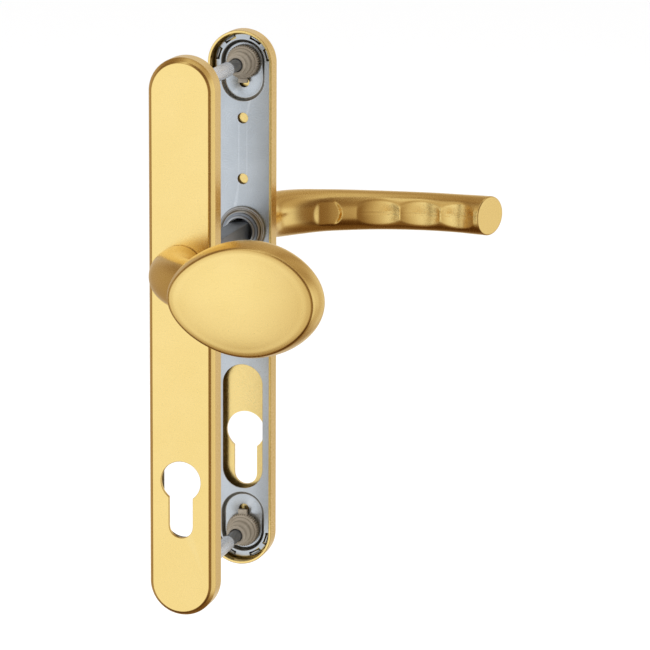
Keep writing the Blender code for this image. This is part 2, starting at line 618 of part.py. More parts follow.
def lever_handle(frame, material):
    """Return the lever: a spigot and neck on the spindle, an elbow, and a bowed grip."""
    neck_start = PLATE_DEPTH + GAP + BEARING_FLANGE + GAP
    crest = PLATE_DEPTH + LEVER_PROJECTION
    rise = crest - neck_start

    def station(reach_share, rise_share, radius):
        return (-reach_share * LEVER_REACH, neck_start + rise_share * rise, radius)

    stations = (station(0.0, 0.0, LEVER_NECK_RADIUS),
                station(0.0, 0.30, LEVER_NECK_RADIUS),
                station(0.055, 0.57, LEVER_NECK_RADIUS),
                station(0.20, 0.80, LEVER_NECK_RADIUS),
                station(0.42, 0.93, LEVER_GRIP_RADIUS),
                station(0.70, 1.0, LEVER_GRIP_RADIUS),
                station(1.0, 0.945, LEVER_END_RADIUS))
    piece = add_piece("lever_handle", tube_mesh("lever", stations, 4, 5), frame, material)
    spigot_low = CAVITY_FLOOR
    spigot = cylinder_mesh("spigot", LEVER_SPIGOT_RADIUS, spigot_low, neck_start + CUT)
    boolean(piece, add_cutter("lever_spigot", spigot, frame), "UNION")
    bore_side = SPINDLE_SIDE + 2 * SPINDLE_PLAY
    bore = box_mesh("spindle_bore", (bore_side, bore_side), spigot_low - CUT,
                    PLATE_DEPTH + SPINDLE_IN_LEVER + GAP)
    boolean(piece, add_cutter("lever_spindle_cut", bore, frame))
    grub_bore = cylinder_mesh("grub_bore", GRUB_RADIUS + GAP, 0.0, LEVER_NECK_RADIUS + CUT, 16)
    cutter = add_cutter("lever_grub_cut", grub_bore, frame, (0.0, 0.0, PLATE_DEPTH + GRUB_HEIGHT))
    cutter.rotation_euler = (math.radians(90), 0.0, 0.0)
    boolean(piece, cutter)
    return piece


def lever_fittings(frame, fixed_frame, cover, steel, nylon):
    """Add the grub screw, the bearing and its hole, and the spindle."""
    grub = cylinder_mesh("grub", GRUB_RADIUS, SPINDLE_SIDE / 2 + GAP, LEVER_NECK_RADIUS - GRUB_SUNK, 16)
    screw = add_piece("lever_grub_screw", grub, frame, steel, (0.0, 0.0, PLATE_DEPTH + GRUB_HEIGHT))
    screw.rotation_euler = (math.radians(90), 0.0, 0.0)
    bore = LEVER_SPIGOT_RADIUS + GAP
    sleeve_radius = bore + BEARING_WALL
    flange_low = PLATE_DEPTH + GAP
    flange_high = flange_low + BEARING_FLANGE
    turned("lever_bearing",
           [(BEARING_FLANGE_RADIUS, flange_high), (BEARING_FLANGE_RADIUS, flange_low),
            (sleeve_radius, flange_low), (sleeve_radius, CAVITY_FLOOR), (bore, CAVITY_FLOOR),
            (bore, flange_high)], fixed_frame, nylon)
    hole = cylinder_mesh("bearing_hole", sleeve_radius + GAP, CAVITY_FLOOR - CUT, PLATE_DEPTH + CUT)
    boolean(cover, add_cutter("inside_bearing_hole_cut", hole, fixed_frame))
    low = -(DOOR_THICKNESS - SPINDLE_SHORT_OF_OUTSIDE)
    bar = box_mesh("bar", (SPINDLE_SIDE, SPINDLE_SIDE), low, PLATE_DEPTH + SPINDLE_IN_LEVER,
                   SPINDLE_BEVEL)
    add_piece("square_spindle", bar, frame, steel)


def spring_cassette(frame, fixed_frame, steel, zinc):
    """Add the housing, the turning hub, its washer and ring, and the return spring."""
    bore = HUB_RADIUS + GAP
    flange_radius = HOUSING_RADIUS + HOUSING_FLANGE_WIDTH
    flange_high = WEB_DEPTH - GAP
    flange_low = flange_high - HOUSING_FLANGE_THICKNESS
    boss_radius = HOUSING_RADIUS + HOUSING_STEP
    boss_shoulder = HOUSING_FRONT + HOUSING_CHAMFER
    turned("spring_housing",
           [(HOUSING_RADIUS, PAN_BACK), (HOUSING_RADIUS, flange_high), (flange_radius, flange_high),
            (flange_radius, flange_low), (boss_radius, (flange_low + boss_shoulder) / 2),
            (boss_radius, boss_shoulder), (boss_radius - HOUSING_CHAMFER, HOUSING_FRONT),
            (bore, HOUSING_FRONT), (bore, PAN_BACK)], fixed_frame, zinc)
    washer_high = HOUSING_FRONT - GAP
    washer_low = washer_high - THRUST_WASHER_THICKNESS
    turned("thrust_washer", ring_profile(bore + THRUST_WASHER_WIDTH, bore, washer_low, washer_high),
           frame, steel)
    ring_high = washer_low - GAP
    ring_low = ring_high - RING_THICKNESS
    groove_radius = HUB_RADIUS - HUB_GROOVE_DEPTH
    recess_radius = HUB_RADIUS - HUB_WALL
    recess_floor = HUB_RECESS_DEPTH - HUB_PROUD
    hub = turned("drive_hub",
                 [(0.0, PAN_BACK), (HUB_RADIUS, PAN_BACK), (HUB_RADIUS, ring_high + GAP),
                  (groove_radius, ring_high + GAP), (groove_radius, ring_low - GAP),
                  (HUB_RADIUS, ring_low - GAP), (HUB_RADIUS, -HUB_PROUD), (recess_radius, -HUB_PROUD),
                  (recess_radius, recess_floor), (0.0, recess_floor)], frame, zinc)
    bore_side = SPINDLE_SIDE + 2 * SPINDLE_PLAY
    square = box_mesh("hub_bore", (bore_side, bore_side), -CUT, PAN_BACK + CUT)
    boolean(hub, add_cutter("hub_bore_cut", square, frame))
    ring_radius = HUB_RADIUS + RING_PROUD
    clip = turned("hub_retaining_ring", ring_profile(ring_radius, groove_radius + GAP, ring_low, ring_high),
                  frame, steel)
    mouth = box_mesh("mouth", (RING_MOUTH, ring_radius), ring_low - CUT, ring_high + CUT)
    boolean(clip, add_cutter("clip_mouth_cut", mouth, frame, (0.0, -ring_radius, 0.0)))
    return_spring(fixed_frame, steel)


def return_spring(frame, material):
    """Add the torsion spring, coiled round the housing's spigot."""
    steps_per_turn = 16
    coil_radius = HOUSING_RADIUS + SPRING_CLEARANCE + SPRING_WIRE_RADIUS
    first = (WEB_BACK + CAVITY_FLOOR - SPRING_TURNS * SPRING_PITCH) / 2
    count = round(SPRING_TURNS * steps_per_turn)
    points = []
    for step in range(count + 1):
        angle = 2 * math.pi * step / steps_per_turn
        points.append((coil_radius * math.cos(angle), coil_radius * math.sin(angle),
                       first + SPRING_PITCH * step / steps_per_turn))
    add_piece("return_spring", wire_mesh("return_spring", points, SPRING_WIRE_RADIUS), frame, material)


# ---------------------------------------------------------------- assembly

def build():
    """Build both sides of the set."""
    gold = make_material("anodised_gold", (0.80, 0.60, 0.25), 0.35, 1.0)
    pressed_steel = make_material("zinc_plated_steel", (0.60, 0.62, 0.63), 0.38, 1.0)
    bright_steel = make_material("bright_steel", (0.70, 0.74, 0.78), 0.25, 1.0)
    dark_steel = make_material("dark_steel", (0.22, 0.24, 0.25), 0.40, 1.0)
    cast_zinc = make_material("cast_zinc", (0.50, 0.52, 0.52), 0.40, 1.0)
    taupe_nylon = make_material("taupe_nylon", (0.36, 0.32, 0.26), 0.55, 0.0)

    outside = add_frame("outside_frame", (0.0, -DOOR_THICKNESS / 2, 0.0), (90.0, 0.0, 0.0))
    inside = add_frame("inside_frame", (0.0, DOOR_THICKNESS / 2, 0.0), (90.0, 0.0, 180.0))
    lever_frame = add_frame("lever_frame", (0.0, 0.0, 0.0), (0.0, 0.0, 0.0), inside)

    outside_cover = cover_plate(outside, "outside", gold)
    base_plate(outside, "outside", pressed_steel, STUB_RADIUS + GAP, SLEEVE_RADIUS + GAP)
    knob(outside, gold)
    knob_fixings(outside, outside_cover, bright_steel)

    inside_cover = cover_plate(inside, "inside", gold)
    bush_spigot_hole = BOLT_RADIUS + GAP + BUSH_WALL + GAP
    base_plate(inside, "inside", pressed_steel, HOUSING_RADIUS + GAP, bush_spigot_hole)
    lever_handle(lever_frame, gold)
    lever_fittings(lever_frame, inside, inside_cover, dark_steel, taupe_nylon)
    spring_cassette(lever_frame, inside, dark_steel, cast_zinc)

    for end, height in BOLT_HEIGHTS.items():
        bush(outside, f"outside_{end}_bush", taupe_nylon, end, height, SLEEVE_RADIUS + GAP,
             POCKET_FLOOR - GAP)
        bolt_sleeve(outside, f"{end}_bolt_sleeve", bright_steel, height)
        bush(inside, f"inside_{end}_bush", taupe_nylon, end, height, BOLT_RADIUS + GAP,
             PLATE_DEPTH - BOLT_HEAD_HEIGHT - GAP)
        fixing_bolt(inside, f"{end}_fixing_bolt", dark_steel, height)
        countersink(inside, inside_cover, f"{end}_countersink", height)


clear_scene()
PARTS = add_collection("door_handle_set")
CUTTERS = add_collection("cutters")
build()
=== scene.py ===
import logging
import math
from collections.abc import Callable, Sequence
from dataclasses import dataclass, field
from enum import Enum

import bmesh
import bpy
from mathutils import Matrix, Vector
from mathutils.bvhtree import BVHTree


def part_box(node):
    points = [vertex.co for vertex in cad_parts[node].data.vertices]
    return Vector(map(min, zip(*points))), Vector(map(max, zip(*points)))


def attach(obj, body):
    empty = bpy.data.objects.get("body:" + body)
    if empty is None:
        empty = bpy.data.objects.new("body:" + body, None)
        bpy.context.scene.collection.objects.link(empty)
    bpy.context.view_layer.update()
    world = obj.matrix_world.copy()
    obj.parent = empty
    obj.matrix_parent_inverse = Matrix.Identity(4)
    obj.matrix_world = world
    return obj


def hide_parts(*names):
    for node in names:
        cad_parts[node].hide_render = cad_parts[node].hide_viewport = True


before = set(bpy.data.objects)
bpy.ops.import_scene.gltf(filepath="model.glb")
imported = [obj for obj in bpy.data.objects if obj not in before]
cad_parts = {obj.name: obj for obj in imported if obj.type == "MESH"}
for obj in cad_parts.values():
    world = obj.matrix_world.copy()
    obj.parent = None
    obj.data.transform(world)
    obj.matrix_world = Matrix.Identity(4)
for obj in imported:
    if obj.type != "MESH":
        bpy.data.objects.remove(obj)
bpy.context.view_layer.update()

LOG = logging.getLogger("door_handle_set")
MM = 0.001
SHARP_ANGLE = math.radians(38)
WELD = 0.0005                 # doubles closer than this are one, in millimetres
HOLE_POINTS = 48              # round a bolt's hole, a bolt or a square bore
WINDOW_POINTS = 64            # round the pan's window
POCKET_POINTS = 128           # round a drawn pocket
RING_POINTS = 96              # round the cassette's turned pieces
SQUARE_CORNER = 1.5           # radius of a square bore's corners, in millimetres

Place = Callable[[float], Vector]
Loop = list[bmesh.types.BMEdge]
Pair = tuple[float, float]
Triple = tuple[float, float, float]
Profile = list[Pair]
Colour = Triple


class Side(Enum):
    """The two faces of the door, each with its own working frame in millimetres.

    In a side's frame, u runs across the plate, v up it, and w out from the door's surface.
    """

    OUTSIDE = "outside"
    INSIDE = "inside"

    def placing(self) -> Matrix:
        """Return the matrix from this side's millimetres to the row's metres."""
        door_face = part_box("outside_cover_plate")[1].y
        upright = Matrix.Rotation(math.radians(90), 4, "X")
        if self is Side.OUTSIDE:
            return Matrix.Translation((0.0, door_face, 0.0)) @ upright @ Matrix.Scale(MM, 4)
        about = Matrix.Rotation(math.radians(180), 4, "Z")
        return Matrix.Translation((0.0, -door_face, 0.0)) @ about @ upright @ Matrix.Scale(MM, 4)


class Body(Enum):
    """What a piece moves with."""

    FIXED = "fixed_set"
    LEVER = "lever_set"


# ---------------------------------------------------------------- outlines

@dataclass(frozen=True)
class Stadium:
    """A slot shape with round ends, upright in the plate.

    Args:
        radius: half its width.
        top: its highest point.
        bottom: its lowest point.
    """

    radius: float
    top: float
    bottom: float

    def at(self, share: float, inset: float = 0.0, height: float = 0.0) -> Vector:
        """Return a point of the outline.

        Args:
            share: how far round the outline, from 0 to 1.
            inset: how far inside the outline.
            height: its place along w.

        Returns:
            The point in the side's frame.
        """
        angle = math.tau * share
        upper = math.sin(angle) > 0
        centre = self.top - self.radius if upper else self.bottom + self.radius
        radius = self.radius - inset
        return Vector((radius * math.cos(angle), centre + radius * math.sin(angle), height))


def disc(radius: float, height: float = 0.0) -> Stadium:
    """Return a round outline about a point on the plate's middle line."""
    return Stadium(radius, height + radius, height - radius)


@dataclass(frozen=True)
class EuroProfile:
    """The cut-out of a lock cylinder: a circle over a narrower slot with a round end.

    Args:
        centre: height of the circle's middle.
        radius: of the circle.
        slot: half the slot's width.
        height: of the whole cut-out.
    """

    centre: float
    radius: float = 8.75
    slot: float = 5.25
    height: float = 33.5

    def at(self, share: float, inset: float = 0.0, height: float = 0.0) -> Vector:
        """Return a point of the outline.

        Args:
            share: how far round the outline, from 0 to 1.
            inset: how far inside the outline.
            height: its place along w.

        Returns:
            The point in the side's frame.
        """
        circle_share, side_share = 0.55, 0.15
        radius, slot = self.radius - inset, self.slot - inset
        meet = math.acos(slot / radius)
        low = self.radius - self.height + self.slot
        shoulder = -radius * math.sin(meet)
        if share < circle_share:
            angle = -meet + (math.pi + 2 * meet) * share / circle_share
            point = (radius * math.cos(angle), radius * math.sin(angle))
        elif share < circle_share + side_share:
            down = (share - circle_share) / side_share
            point = (-slot, shoulder + (low - shoulder) * down)
        elif share < 1 - side_share:
            angle = math.pi + math.pi * (share - circle_share - side_share) / side_share
            point = (slot * math.cos(angle), low + slot * math.sin(angle))
        else:
            up = (share - 1 + side_share) / side_share
            point = (slot, low + (shoulder - low) * up)
        return Vector((point[0], self.centre + point[1], height))


@dataclass(frozen=True)
class Cross:
    """The outline of a cross-shaped drive recess.

    Args:
        reach: from its middle to the end of an arm.
        arm: half an arm's width.
        centre: its height in the plate.
    """

    reach: float
    arm: float
    centre: float

    def at(self, share: float, inset: float = 0.0, height: float = 0.0) -> Vector:
        """Return a corner of the outline; twelve shares name its twelve corners.

        Args:
            share: how far round the outline, from 0 to 1.
            inset: how far inside the outline.
            height: its place along w.

        Returns:
            The point in the side's frame.
        """
        corner = round(share * 12) % 12
        quarter, place = divmod(corner, 3)
        reach, arm = self.reach - inset, self.arm - inset
        point = ((reach, -arm), (reach, arm), (arm, arm))[place]
        turned = Matrix.Rotation(quarter * math.pi / 2, 2) @ Vector(point)
        return Vector((turned.x, self.centre + turned.y, height))


def eased(corners: Profile, radius: float, steps: int = 3) -> Profile:
    """Return a profile with its inner corners rounded.

    Args:
        corners: the profile's points as (radius, height).
        radius: how far a rounding reaches along each run, at most.
        steps: points in each rounding.

    Returns:
        The points of the rounded profile, with one on each flat to hold it flat.
    """
    points = [Vector(corner) for corner in corners]
    out = [points[0]]
    for before, corner, after in zip(points, points[1:], points[2:]):
        reach = min(radius, 0.42 * (before - corner).length, 0.42 * (after - corner).length)
        start = corner + (before - corner).normalized() * reach
        end = corner + (after - corner).normalized() * reach
        out.append(start + (before - corner).normalized() * reach * 0.12)
        for step in range(steps + 1):
            share = step / steps
            first, second = start.lerp(corner, share), corner.lerp(end, share)
            out.append(first.lerp(second, share))
        out.append(end + (after - corner).normalized() * reach * 0.12)
    out.append(points[-1])
    return [tuple(point) for point in out]


def curve_through(knots: Sequence[Vector], steps: int) -> list[Vector]:
    """Return points of a smooth curve through knots, unevenly spaced ones included.

    Args:
        knots: the points that it passes, of any size.
        steps: points for each run between two knots.

    Returns:
        The curve's points, the first and last knot among them.
    """
    ends = [2 * knots[0] - knots[1], *knots, 2 * knots[-1] - knots[-2]]
    out = []
    for first, start, end, last in zip(ends, ends[1:], ends[2:], ends[3:]):
        gaps = [max((b - a).length, 1e-6) for a, b in ((first, start), (start, end), (end, last))]
        run = end - start
        lead = ((start - first) / gaps[0] - (end - first) / (gaps[0] + gaps[1])) * gaps[1] + run
        trail = ((last - end) / gaps[2] - (last - start) / (gaps[1] + gaps[2])) * gaps[1] + run
        for step in range(steps):
            t = step / steps
            out.append((2 * t**3 - 3 * t**2 + 1) * start + (t**3 - 2 * t**2 + t) * lead
                       + (3 * t**2 - 2 * t**3) * end + (t**3 - t**2) * trail)
    out.append(knots[-1].copy())
    return out


# ---------------------------------------------------------------- mesh work

class Skin:
    """A mesh grown from closed loops, each pulled out of the one before it."""

    def __init__(self) -> None:
        """Start an empty mesh that remembers each point's share of its loop."""
        self.bm = bmesh.new()
        self.share = self.bm.verts.layers.float.new("share")

    def ring(self, place: Place, count: int, start: float = 0.5) -> Loop:
        """Start a loop.

        Args:
            place: gives a point from its share of the loop.
            count: points in the loop.
            start: where the first point lies, in steps.

        Returns:
            The loop's edges.
        """
        verts = bmesh.ops.create_circle(self.bm, segments=count, radius=1.0)["verts"]
        for step, vert in enumerate(verts):
            vert[self.share] = (step + start) / count
            vert.co = place(vert[self.share])
        return list({edge for vert in verts for edge in vert.link_edges})

    def grow(self, loop: Loop, *places: Place) -> Loop:
        """Extrude a loop through further places.

        Args:
            loop: the edges to start from.
            places: one for each new loop, giving a point from its share.

        Returns:
            The edges of the last loop.
        """
        for place in places:
            made = bmesh.ops.extrude_edge_only(self.bm, edges=loop)["geom"]
            verts = {item for item in made if isinstance(item, bmesh.types.BMVert)}
            for vert in verts:
                vert.co = place(vert[self.share])
            loop = [item for item in made if isinstance(item, bmesh.types.BMEdge)
                    and all(vert in verts for vert in item.verts)]
        return loop

    def levels(self, outline, levels: Sequence[Pair], count: int,
               start: float = 0.5) -> tuple[Loop, Loop]:
        """Stack copies of an outline.

        Args:
            outline: what has an at method.
            levels: (inset, height) of each loop.
            count: points in each loop.
            start: where the first point lies, in steps.

        Returns:
            The first and the last loop.
        """
        places = [lambda share, i=inset, h=height: outline.at(share, i, h)
                  for inset, height in levels]
        first = self.ring(places[0], count, start)
        return first, self.grow(first, *places[1:])

    def turned(self, profile: Profile, height: float = 0.0, count: int = 64) -> tuple[Loop, Loop]:
        """Turn a profile about a line through the plate.

        Args:
            profile: its points as (radius, place along w).
            height: of the line, in the plate.
            count: points round it.

        Returns:
            The first and the last loop.
        """
        outline = disc(0.0, height)
        return self.levels(outline, [(-radius, along) for radius, along in profile], count)

    def fill(self, *loops: Loop) -> None:
        """Close the flat area between loops, or inside one."""
        edges = [edge for loop in loops for edge in loop]
        bmesh.ops.triangle_fill(self.bm, edges=edges, use_beauty=True)

    def block(self, place: Matrix, bevel: float, segments: int) -> None:
        """Add a cube with soft edges.

        Args:
            place: its place, turn and size.
            bevel: width of its edges.
            segments: how many faces round each edge.
        """
        verts = bmesh.ops.create_cube(self.bm, matrix=place)["verts"]
        soften(self.bm, {edge for vert in verts for edge in vert.link_edges}, bevel, segments)

    def join(self, first: Loop, last: Loop) -> None:
        """Bridge two loops of the same count."""
        bmesh.ops.bridge_loops(self.bm, edges=[*first, *last])

    def settle(self) -> None:
        """Weld the doubles and point every face outwards."""
        bmesh.ops.remove_doubles(self.bm, verts=self.bm.verts, dist=WELD)
        bmesh.ops.recalc_face_normals(self.bm, faces=self.bm.faces)


def soften(bm: bmesh.types.BMesh, edges, width: float, segments: int) -> None:
    """Bevel edges.

    Args:
        bm: the mesh.
        edges: its edges to bevel.
        width: of the bevel.
        segments: how many faces round each edge.
    """
    bmesh.ops.bevel(bm, geom=list(edges), offset=width, affect="EDGES", segments=segments,
                    profile=0.5, material=-1)


def through_modifier(bm: bmesh.types.BMesh, kind: str, **settings) -> bmesh.types.BMesh:
    """Return a mesh after one modifier.

    Args:
        bm: the mesh, which is used up.
        kind: the modifier's type.
        settings: its values.

    Returns:
        The new mesh.
    """
    mesh = bpy.data.meshes.new("working")
    bm.to_mesh(mesh)
    bm.free()
    holder = bpy.data.objects.new("working", mesh)
    bpy.context.scene.collection.objects.link(holder)
    modifier = holder.modifiers.new(kind.lower(), kind)
    for name, value in settings.items():
        setattr(modifier, name, value)
    evaluated = holder.evaluated_get(bpy.context.evaluated_depsgraph_get())
    out = bmesh.new()
    out.from_mesh(evaluated.to_mesh())
    evaluated.to_mesh_clear()
    bpy.data.objects.remove(holder, do_unlink=True)
    bpy.data.meshes.remove(mesh)
    return out


# ---------------------------------------------------------------- finishes

def new_group(name: str, inputs: dict[str, float], outputs: Sequence[str]) -> bpy.types.NodeTree:
    """Return an empty shader group.

    Args:
        name: the group's name.
        inputs: its number inputs and their defaults, beside its Vector.
        outputs: its number outputs.

    Returns:
        The group.
    """
    group = bpy.data.node_groups.new(name, "ShaderNodeTree")
    group.interface.new_socket("Vector", in_out="INPUT", socket_type="NodeSocketVector")
    for label, value in inputs.items():
        socket = group.interface.new_socket(label, in_out="INPUT", socket_type="NodeSocketFloat")
        socket.default_value = value
    for label in outputs:
        group.interface.new_socket(label, in_out="OUTPUT", socket_type="NodeSocketFloat")
    return group


def add_node(tree: bpy.types.NodeTree, kind: str, links: dict | None = None, **values):
    """Add a shader node.

    Args:
        tree: where it goes.
        kind: its type, without the leading ShaderNode.
        links: input name or number to the socket or value that feeds it.
        values: attributes to set.

    Returns:
        The node.
    """
    node = tree.nodes.new("ShaderNode" + kind)
    for name, value in values.items():
        setattr(node, name, value)
    for key, source in (links or {}).items():
        if isinstance(source, bpy.types.NodeSocket):
            tree.links.new(source, node.inputs[key])
        else:
            node.inputs[key].default_value = source
    return node


def mixed(tree: bpy.types.NodeTree, factor: bpy.types.NodeSocket, first: object,
          second: Colour) -> bpy.types.NodeSocket:
    """Mix two colours.

    Args:
        tree: where the node goes.
        factor: the mask that brings in the second colour.
        first: a colour, or the socket of one.
        second: a colour.

    Returns:
        The mixed colour's socket.
    """
    node = add_node(tree, "Mix", {0: factor}, data_type="RGBA")
    colours = [entry for entry in node.inputs if entry.type == "RGBA"]
    if isinstance(first, bpy.types.NodeSocket):
        tree.links.new(first, colours[0])
    else:
        colours[0].default_value = (*first, 1.0)
    colours[1].default_value = (*second, 1.0)
    return next(entry for entry in node.outputs if entry.type == "RGBA")


def surface_grain() -> bpy.types.NodeTree:
    """Return the group for fine grain over a slow unevenness, as two masks."""
    group = new_group("surface_grain", {"Fine": 4000.0, "Slow": 60.0}, ("Grain", "Unevenness"))
    enter = group.nodes.new("NodeGroupInput")
    leave = group.nodes.new("NodeGroupOutput")
    place = enter.outputs["Vector"]
    fine = add_node(group, "TexNoise", {"Vector": place, "Scale": enter.outputs["Fine"],
                                        "Detail": 3.0, "Roughness": 0.6})
    slow = add_node(group, "TexNoise", {"Vector": place, "Scale": enter.outputs["Slow"],
                                        "Detail": 4.0, "Roughness": 0.55})
    group.links.new(fine.outputs["Fac"], leave.inputs["Grain"])
    group.links.new(slow.outputs["Fac"], leave.inputs["Unevenness"])
    return group


def edge_wear() -> bpy.types.NodeTree:
    """Return the group for a mask of rubbed edges, broken up by noise."""
    group = new_group("edge_wear", {"Scale": 900.0, "Amount": 0.5}, ("Worn",))
    enter = group.nodes.new("NodeGroupInput")
    leave = group.nodes.new("NodeGroupOutput")
    shape = group.nodes.new("ShaderNodeNewGeometry")
    edge = add_node(group, "MapRange", {"Value": shape.outputs["Pointiness"], "From Min": 0.52,
                                        "From Max": 0.62, "To Max": 1.0})
    noise = add_node(group, "TexNoise", {"Vector": enter.outputs["Vector"],
                                         "Scale": enter.outputs["Scale"], "Detail": 3.0})
    broken = add_node(group, "Math", {0: noise.outputs["Fac"], 1: edge.outputs["Result"]},
                      operation="MULTIPLY")
    worn = add_node(group, "Math", {0: broken.outputs[0], 1: enter.outputs["Amount"]},
                    operation="MULTIPLY", use_clamp=True)
    group.links.new(worn.outputs[0], leave.inputs["Worn"])
    return group


@dataclass(frozen=True)
class Finish:
    """One finish of the set, made as a node material.

    Args:
        slot: the record's material slot.
        colour: the clean surface.
        shade: where it is a little darker.
        worn: where its edges are rubbed.
        metallic: 1 for metal and 0 for plastic.
        roughness: lowest and highest.
        grain: its fineness, as cycles in a metre.
        relief: height of the grain, in metres.
        stretch: draws the grain out along an axis where a number is small.
        wear: how much of the rubbed colour shows at edges.
    """

    slot: str
    colour: Colour
    shade: Colour
    worn: Colour
    metallic: float
    roughness: Pair
    grain: float = 4000.0
    relief: float = 0.000004
    stretch: Triple = (1.0, 1.0, 1.0)
    wear: float = 0.5

    def material(self, groups: dict[str, bpy.types.NodeTree]) -> bpy.types.Material:
        """Build the material.

        Args:
            groups: the shared node groups by name.

        Returns:
            The material, named for its slot.
        """
        material = bpy.data.materials.new(self.slot + "_finish")
        material.use_nodes = True
        tree = material.node_tree
        shader = tree.nodes["Principled BSDF"]
        place = add_node(tree, "TexCoord")
        drawn = add_node(tree, "Mapping", {"Vector": place.outputs["Object"],
                                           "Scale": self.stretch})
        grain = add_node(tree, "Group", node_tree=groups["surface_grain"])
        grain.inputs["Fine"].default_value = self.grain
        wear = add_node(tree, "Group", node_tree=groups["edge_wear"])
        wear.inputs["Amount"].default_value = self.wear
        tree.links.new(drawn.outputs["Vector"], grain.inputs["Vector"])
        tree.links.new(place.outputs["Object"], wear.inputs["Vector"])
        tone = add_node(tree, "MapRange", {"Value": grain.outputs["Unevenness"], "From Min": 0.35,
                                           "From Max": 0.65})
        base = mixed(tree, tone.outputs["Result"], self.shade, self.colour)
        rubbed = mixed(tree, wear.outputs["Worn"], base, self.worn)
        tree.links.new(rubbed, shader.inputs["Base Color"])
        rough = add_node(tree, "MapRange", {"Value": grain.outputs["Grain"], "From Min": 0.3,
                                            "From Max": 0.7, "To Min": self.roughness[0],
                                            "To Max": self.roughness[1]})
        tree.links.new(rough.outputs["Result"], shader.inputs["Roughness"])
        bump = add_node(tree, "Bump", {"Height": grain.outputs["Grain"], "Distance": self.relief,
                                       "Strength": 1.0})
        tree.links.new(bump.outputs["Normal"], shader.inputs["Normal"])
        shader.inputs["Metallic"].default_value = self.metallic
        return material


class Workshop:
    """Where meshes get their finish and become pieces of the set."""

    def __init__(self, finishes: Sequence[Finish]) -> None:
        """Build the shared groups and one material for each finish.

        Args:
            finishes: every finish of the set.
        """
        groups = {"surface_grain": surface_grain(), "edge_wear": edge_wear()}
        self.materials = {finish.slot: finish.material(groups) for finish in finishes}

    def piece(self, name: str, bm: bmesh.types.BMesh, side: Side, slot: str, body: Body,
              *nodes: str) -> bpy.types.Object:
        """Turn a mesh into a finished piece in its place.

        Args:
            name: the piece's name.
            bm: its mesh in the side's millimetres, which is used up.
            side: the face of the door that it belongs to.
            slot: its finish.
            body: what it moves with.
            nodes: the CAD nodes that it stands for.

        Returns:
            The piece.
        """
        bmesh.ops.transform(bm, matrix=side.placing(), verts=bm.verts)
        for face in bm.faces:
            face.smooth = True
        mesh = bpy.data.meshes.new(name)
        bm.to_mesh(mesh)
        bm.free()
        mesh.set_sharp_from_angle(angle=SHARP_ANGLE)
        mesh.materials.append(self.materials[slot])
        piece = bpy.data.objects.new(name, mesh)
        bpy.context.scene.collection.objects.link(piece)
        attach(piece, body.value)
        if nodes:
            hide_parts(*nodes)
        LOG.info("%s: %d faces", name, len(mesh.polygons))
        return piece

    def dress_node(self, node: str, slot: str) -> None:
        """Give a CAD node that stays in view its finish."""
        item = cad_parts[node]
        item.data.materials.clear()
        item.data.materials.append(self.materials[slot])
        LOG.info("%s: dressed as %s", node, slot)


# ---------------------------------------------------------------- plates

@dataclass(frozen=True)
class PlateSizes:
    """Sizes that both plates share, in millimetres.

    The plate's outline comes from the frame, and the rest are its fixed details.
    """

    radius: float
    top: float
    bottom: float
    depth: float
    wall: float = 1.2
    face: float = 1.6
    sheet: float = 1.2
    web: float = 5.0
    gap: float = 0.3
    lock_centre: float = -92.0
    bolts: Pair = (74.3, -136.7)

    @classmethod
    def of_frame(cls) -> "PlateSizes":
        """Read the plate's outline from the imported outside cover."""
        low, high = (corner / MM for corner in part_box("outside_cover_plate"))
        return cls((high.x - low.x) / 2, high.z, low.z, high.y - low.y)

    @property
    def outline(self) -> Stadium:
        """The plate's outline."""
        return Stadium(self.radius, self.top, self.bottom)

    @property
    def cavity(self) -> float:
        """Where the cover's hollow ends, along w."""
        return self.depth - self.face

    @property
    def lock(self) -> EuroProfile:
        """The lock cylinder's cut-out."""
        return EuroProfile(self.lock_centre)


